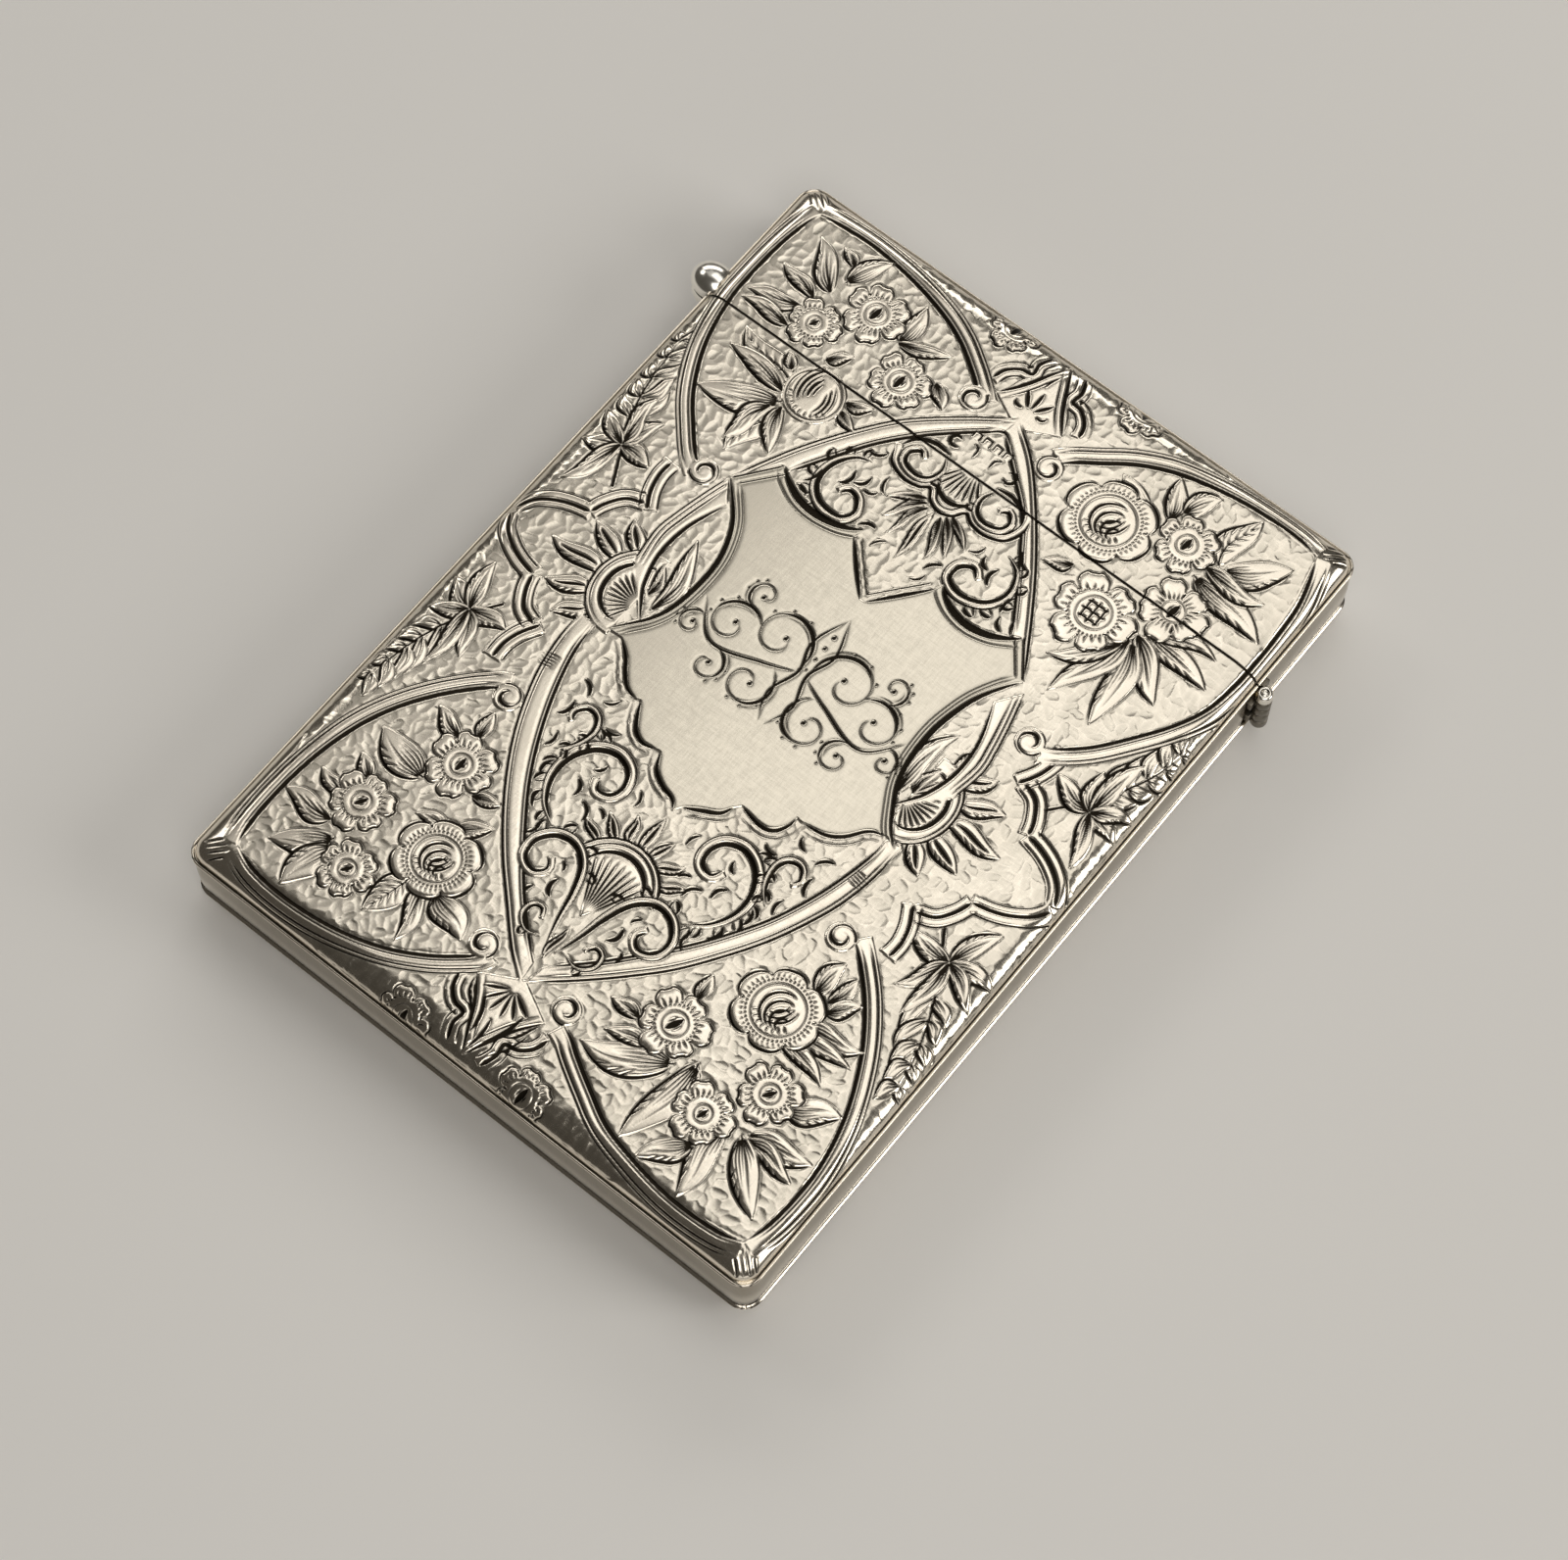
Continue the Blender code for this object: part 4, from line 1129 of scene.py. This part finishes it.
def silver(name, colour, dark, rough, tarnish, engraved=False, wall=False):
    """Old silver: warm, finely scratched, darker where tarnish has been left. The engraved one
    follows the plate's attributes, the wall carries painted shade along its foot and a painted dark
    reflection along its top."""
    n = Nodes(name)
    cloud = n.map(n.noise(90, 5, rough=0.6), 0.35, 0.7, 0.0, tarnish)
    tone = n.mix(cloud, (*colour, 1.0), (*dark, 1.0))
    if wall:
        # painted reflection and shade on the wall: its upper part darkened as if it mirrored a dark
        # surrounding, its foot darkened as painted shade, a lighter band between them
        height = n.add("ShaderNodeSeparateXYZ", {"Vector": n.coords}).outputs[2]
        waver = n.map(n.noise(90, 3), 0.3, 0.7, -0.00015, 0.00015)
        height = n.math("ADD", height, waver)
        tone = n.mix(n.map(height, 0.0046, 0.0062, 0.0, 0.75), tone, (0.30, 0.26, 0.20, 1.0))
        tone = n.mix(n.map(height, 0.0040, 0.0027, 0.0, 0.85), tone, (0.10, 0.085, 0.06, 1.0))
    marks = n.math("ADD", n.noise(600, 3, (1.0, 9.0, 1.0), 0.7),
                   n.noise(600, 3, (8.0, 1.0, 1.0), 0.7))
    roughness = n.map(marks, 0.8, 1.25, rough - 0.03, rough + 0.05)
    if engraved:
        cut_patina_and_shade, ground, scoop, plain = (n.attribute(k) for k in ("cut_patina_and_shade", "ground", "tone", "plain"))
        hollow = n.math("MULTIPLY", ground, n.map(scoop, 0.0, 1.0, 0.12, 0.72))
        tone = n.mix(hollow, tone, (0.545, 0.507, 0.43, 1.0))
        # painted shade: the plain shield is darkened to stand for the dimmer reflection of its flat
        # face
        tone = n.mix(plain, tone, (0.565, 0.522, 0.44, 1.0))
        # dark patina in the cuts; the same dark is painted shade along the seam, beside the bead
        # and in the thumb bead's crease
        tone = n.mix(n.map(cut_patina_and_shade, 0.12, 0.75, 0.0, 1.0), tone, (0.02, 0.016, 0.011, 1.0))
        for rougher, amount in ((ground, 0.03), (cut_patina_and_shade, 0.3)):
            roughness = n.math("ADD", roughness, n.math("MULTIPLY", rougher, amount))
    n.shader.inputs["Metallic"].default_value = 1.0
    n.plug(tone, n.shader.inputs["Base Color"])
    n.plug(roughness, n.shader.inputs["Roughness"])
    bump = n.add("ShaderNodeBump", {"Strength": 0.04, "Distance": 0.00003, "Height": marks})
    n.plug(bump, n.shader.inputs["Normal"])
    return n.material


face_silver = silver("engraved_silver", (0.87, 0.80, 0.69), (0.42, 0.37, 0.29), 0.17, 0.3,
                     engraved=True)
# the wall's silver is darker than the face's: painted shade standing for the darker surroundings it
# mirrors
wall_silver_painted_shade = silver("wall_silver_painted_shade", (0.66, 0.61, 0.52), (0.30, 0.26, 0.19), 0.2, 0.5, wall=True)
# brighter silver than the face, painted to catch the light: the top knuckle and the pin
lit_satin_silver = silver("lit_satin_silver", (0.95, 0.91, 0.83), (0.6, 0.54, 0.44), 0.24, 0.25)
# brighter silver than the face, painted so that the thumb bead looks lit
lit_bead_silver = silver("lit_bead_silver", (0.98, 0.95, 0.88), (0.7, 0.64, 0.54), 0.2, 0.2,
                     engraved=True)
# near-black silver for the lower knuckles and their plates: painted shade
shaded_hinge_silver = silver("hinge_wire", (0.20, 0.18, 0.15), (0.06, 0.05, 0.03), 0.34, 0.7)
gilt = silver("gilt_inside", (0.84, 0.66, 0.36), (0.5, 0.34, 0.14), 0.27, 0.5)


# ---- pieces ---------------------------------------------------------------------------
def settle(obj, body, node):
    """What each new piece rides on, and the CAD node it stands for."""
    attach(obj, body)
    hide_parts(node)


def build_panels():
    """Engraved fronts, plain backs and side walls of the body and the lid."""
    for side, lid in (("body", False), ("lid", True)):
        body = "lid" if lid else "case_body"
        for face, front in (("front", True), ("back", False)):
            name = side + "_" + face
            settle(panel(name + "_skin", lid, front), body, name + "_panel")
        settle(side_band(side + "_wall", lid), body, side + "_side_band")


def loft_object(name, rings, material, caps=True):
    """Object lofted through closed rings of points in mm."""
    bm = bmesh.new()
    made = [[bm.verts.new(Vector(p) * MM) for p in ring] for ring in np.array(rings, float)]
    for a, b in zip(made, made[1:]):
        for i in range(len(a)):
            j = (i + 1) % len(a)
            bm.faces.new((a[i], a[j], b[j], b[i]))
    if caps:
        bm.faces.new(made[0])
        bm.faces.new(made[-1])
    bmesh.ops.recalc_face_normals(bm, faces=bm.faces[:])
    return from_bmesh(name, bm, material, 35)


def build_bezel():
    """Thin gilt collar in the mouth, open towards the hinge, with softened edges."""
    run = 3.24  # of the curve that it shares with the convex margin

    def section(inset):
        points = []
        for k in range(13):
            a = math.pi / 2 * k / 12
            x = -HALF_W + MARGIN - run * math.cos(a)
            z = ARRIS + MARGIN_FOOT + MARGIN_RISE * math.sin(a)
            nx, nz = -math.cos(a) / run, math.sin(a) / MARGIN_RISE
            depth = (0.9 + inset) / math.hypot(nx, nz)
            points.append((max(x - depth * nx, -34.35 + inset), z - depth * nz))
        points.append((31.2, points[-1][1]))
        return points[::-1] + [(x, THICKNESS - z) for x, z in points]

    rings = []
    for y, shrink in ((24.0, 0.12), (24.05, 0.0), (26, 0.0), (28.5, 0.0), (31, 0.0), (33.0, 0.0),
                      (33.2, 0.14)):
        o, i = section(shrink), section(0.5 - shrink)
        rings.append([(x, y, z) for x, z in o] + [(x, y, z) for x, z in i[::-1]])
    settle(loft_object("gilt_bezel", rings, gilt), "case_body", "mouth_bezel")


def lathe(name, profile, material, caps):
    """Turned about the hinge's axis; profile is radius and height."""
    turns = [2 * math.pi * k / 32 for k in range(32)]
    rings = [[(HINGE_X + r * math.cos(a), HINGE_Y + r * math.sin(a), z) for a in turns]
             for r, z in profile]
    return loft_object(name, rings, material, caps)


def join(objects):
    """The objects as one, under the first one's name."""
    with bpy.context.temp_override(active_object=objects[0], object=objects[0],
                                   selected_editable_objects=objects,
                                   selected_objects=objects):
        bpy.ops.object.join()
    return objects[0]


def block(name, x0, x1, y0, y1, z0, z1, bevel, material):
    """A box with softened edges, its sides given in mm."""
    bm = bmesh.new()
    bmesh.ops.create_cube(bm, size=1.0)
    bmesh.ops.scale(bm, verts=bm.verts, vec=((x1 - x0) * MM, (y1 - y0) * MM, (z1 - z0) * MM))
    bmesh.ops.translate(bm, verts=bm.verts, vec=Vector(((x0 + x1) / 2, (y0 + y1) / 2,
                                                        (z0 + z1) / 2)) * MM)
    bmesh.ops.bevel(bm, geom=bm.edges[:], offset=bevel * MM, segments=3, affect="EDGES",
                    profile=0.5)
    return from_bmesh(name, bm, material, 40)


def build_hinge():
    """Five knuckles, each a turned tube with its plate, in turn lid and body, and the pin."""
    names = ["lid_hinge_knuckle_bottom", "body_hinge_knuckle_lower",
             "lid_hinge_knuckle_middle", "body_hinge_knuckle_upper", "lid_hinge_knuckle_top"]
    gap = 0.25
    height = (HINGE_HIGH - HINGE_LOW - 4 * gap) / 5
    for k, node in enumerate(names):
        z0 = HINGE_LOW + k * (height + gap)
        z1 = z0 + height
        way = 1 if node.startswith("lid") else -1
        top = 0.4 if k == 4 else 0.16  # the top one is rounded
        profile = [(0.5, z0 + 0.02), (0.62, z0), (0.8, z0), (0.88, z0 + 0.07), (0.9, z0 + 0.16)]
        profile += [(0.9 - top * (1 - math.cos(a)), z1 - top * (1 - math.sin(a)))
                    for a in (math.pi / 12 * q for q in range(7))]
        profile += [(0.46, z1 - 0.02), (0.46, z0 + 0.2), (0.5, z0 + 0.02)]
        # painted light: the top knuckle in bright satin silver, the lower ones darkened as painted
        # shade
        metal = lit_satin_silver if k == 4 else shaded_hinge_silver
        tube = lathe(node + "_tube", profile, metal, caps=False)
        near, far = HINGE_Y + way * 0.45, HINGE_Y + way * 1.5
        foot_plate = block(node + "_plate", 34.8, 35.85, min(near, far), max(near, far),
                           z0 + 0.03, z1 - 0.03, 0.09, shaded_hinge_silver)
        settle(join([tube, foot_plate]), "lid" if way > 0 else "case_body", node)
    profile = [(0.08, HINGE_LOW), (0.3, 2.22), (0.39, 2.3), (0.4, 2.45), (0.4, 8.62), (0.37, 8.72),
               (0.26, 8.78), (0.08, HINGE_HIGH)]
    pin = lathe("hinge_wire", profile, lit_satin_silver, caps=True)
    settle(pin, "case_body", "hinge_pin")


def build_thumb_piece():
    """A small heart-shaped bead: two lobes with a crease between them."""
    lobes = [((-36.25, 33.65, 8.4), (2.45, 2.1, 1.65)), ((-36.1, 32.85, 6.8), (2.2, 1.35, 1.6))]
    middle = np.array((-36.15, 33.3, 7.6))
    rows, cols = 72, 96
    crease = np.zeros((rows + 1, cols))
    verts = np.zeros((rows + 1, cols, 3))
    for i in range(rows + 1):
        polar = math.pi * i / rows
        for j in range(cols):
            a = 2 * math.pi * j / cols
            d = np.array((math.sin(polar) * math.cos(a), math.sin(polar) * math.sin(a),
                          math.cos(polar)))
            reach = [0.0, 0.0]
            for q, (centre, radii) in enumerate(lobes):
                rad = np.array(radii)
                o = (middle - np.array(centre)) / rad
                v = d / rad
                b, c = o @ v, o @ o - 1
                root = b * b - (v @ v) * c
                if root > 0:
                    reach[q] = (-b + math.sqrt(root)) / (v @ v)
            crease[i, j] = max(0.0, 1 - abs(reach[0] - reach[1]) / 0.2)
            verts[i, j] = middle + d * (max(reach) - 0.14 * crease[i, j])
    verts[..., 0] = np.minimum(verts[..., 0], -34.96)  # flat against the wall
    quads = grid_faces(rows + 1, cols)
    wrap = np.arange(rows) * cols
    quads = np.concatenate([quads, np.stack([wrap + cols - 1, wrap, wrap + cols,
                                             wrap + 2 * cols - 1], -1)])
    zero = np.zeros(verts.shape[:2])
    # the crease between the lobes is darkened as painted shade
    bead = make_mesh("thumb_bead", verts.reshape(-1, 3), quads[:, ::-1], [lit_bead_silver],
                     {"cut_patina_and_shade": np.minimum(1, crease * 1.2), "ground": zero, "tone": zero})
    settle(bead, "lid", "thumb_piece")


def finish_bearers():
    """The two bearers keep their CAD shape and take the gilt of the inside."""
    for node in ("body_hinge_bearer", "lid_hinge_bearer"):
        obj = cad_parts[node]
        for place in obj.material_slots:
            place.material = gilt


# ---- stage ----------------------------------------------------------------------------
def build_floor():
    """Plain pale floor, a hair below the case."""
    n = Nodes("plain_floor")
    tone = n.mix(n.map(n.noise(3, 4), 0.3, 0.7, 0.0, 1.0), (0.84, 0.82, 0.79, 1.0),
                 (0.88, 0.86, 0.83, 1.0))
    n.plug(tone, n.shader.inputs["Base Color"])
    n.shader.inputs["Roughness"].default_value = 0.75
    bpy.ops.mesh.primitive_plane_add(size=6.0, location=(0, 0, -0.00002))
    floor = bpy.context.object
    floor.name = "floor"
    floor.data.materials.append(n.material)


def softbox(name, azimuth, elevation, distance, size, power):
    """Area light; azimuth 0 is straight beyond the case as the camera sees it."""
    data = bpy.data.lights.new(name, "AREA")
    data.shape = "RECTANGLE"
    data.size, data.size_y = size
    data.energy = power
    data.color = (1.0, 0.98, 0.94)
    obj = bpy.data.objects.new(name, data)
    turn, up = math.radians(VIEW_AZIMUTH - azimuth), math.radians(elevation)
    aim = Vector((-math.sin(turn) * math.cos(up), math.cos(turn) * math.cos(up), math.sin(up)))
    obj.location = aim * distance
    obj.rotation_mode = "QUATERNION"
    obj.rotation_quaternion = (-aim).to_track_quat("-Z", "Y")
    bpy.context.scene.collection.objects.link(obj)


def build_lights():
    """Soft boxes all round, so that the polished edges have something to reflect."""
    world = bpy.data.worlds.new("studio")
    world.use_nodes = True
    back = world.node_tree.nodes["Background"]
    back.inputs["Color"].default_value = (0.50, 0.46, 0.40, 1.0)
    back.inputs["Strength"].default_value = 0.13
    bpy.context.scene.world = world
    softbox("main", 48, 69, 1.2, (0.9, 0.62), 2.1)
    softbox("fill", -15, 60, 1.2, (0.5, 0.5), 0.3)
    softbox("back", 0, 30, 1.2, (1.2, 0.3), 2.8)
    softbox("right", 105, 28, 1.1, (0.5, 0.4), 3.0)
    softbox("left", -45, 38, 1.2, (0.3, 0.3), 0.7)
    softbox("key", 172, 60, 1.4, (0.8, 0.8), 4.8)
    softbox("low", 180, 13, 1.2, (1.0, 0.35), 0.9)


def build_camera():
    """The photograph's point of view."""
    azimuth, elevation = math.radians(VIEW_AZIMUTH), math.radians(VIEW_ELEVATION)
    back = Vector((math.sin(azimuth) * math.cos(elevation),
                   -math.cos(azimuth) * math.cos(elevation), math.sin(elevation)))
    data = bpy.data.cameras.new("camera")
    data.lens = FOCAL_LENGTH
    data.sensor_width = 36.0
    data.clip_start, data.clip_end = 0.01, 20.0
    obj = bpy.data.objects.new("camera", data)
    obj.location = Vector(VIEW_TARGET) * MM + back * VIEW_DISTANCE
    obj.rotation_mode = "QUATERNION"
    obj.rotation_quaternion = (-back).to_track_quat("-Z", "Y")
    bpy.context.scene.collection.objects.link(obj)
    bpy.context.scene.camera = obj


build_panels()
build_bezel()
build_hinge()
build_thumb_piece()
finish_bearers()
build_floor()
build_lights()
build_camera()
bpy.context.scene.view_settings.view_transform = "Standard"
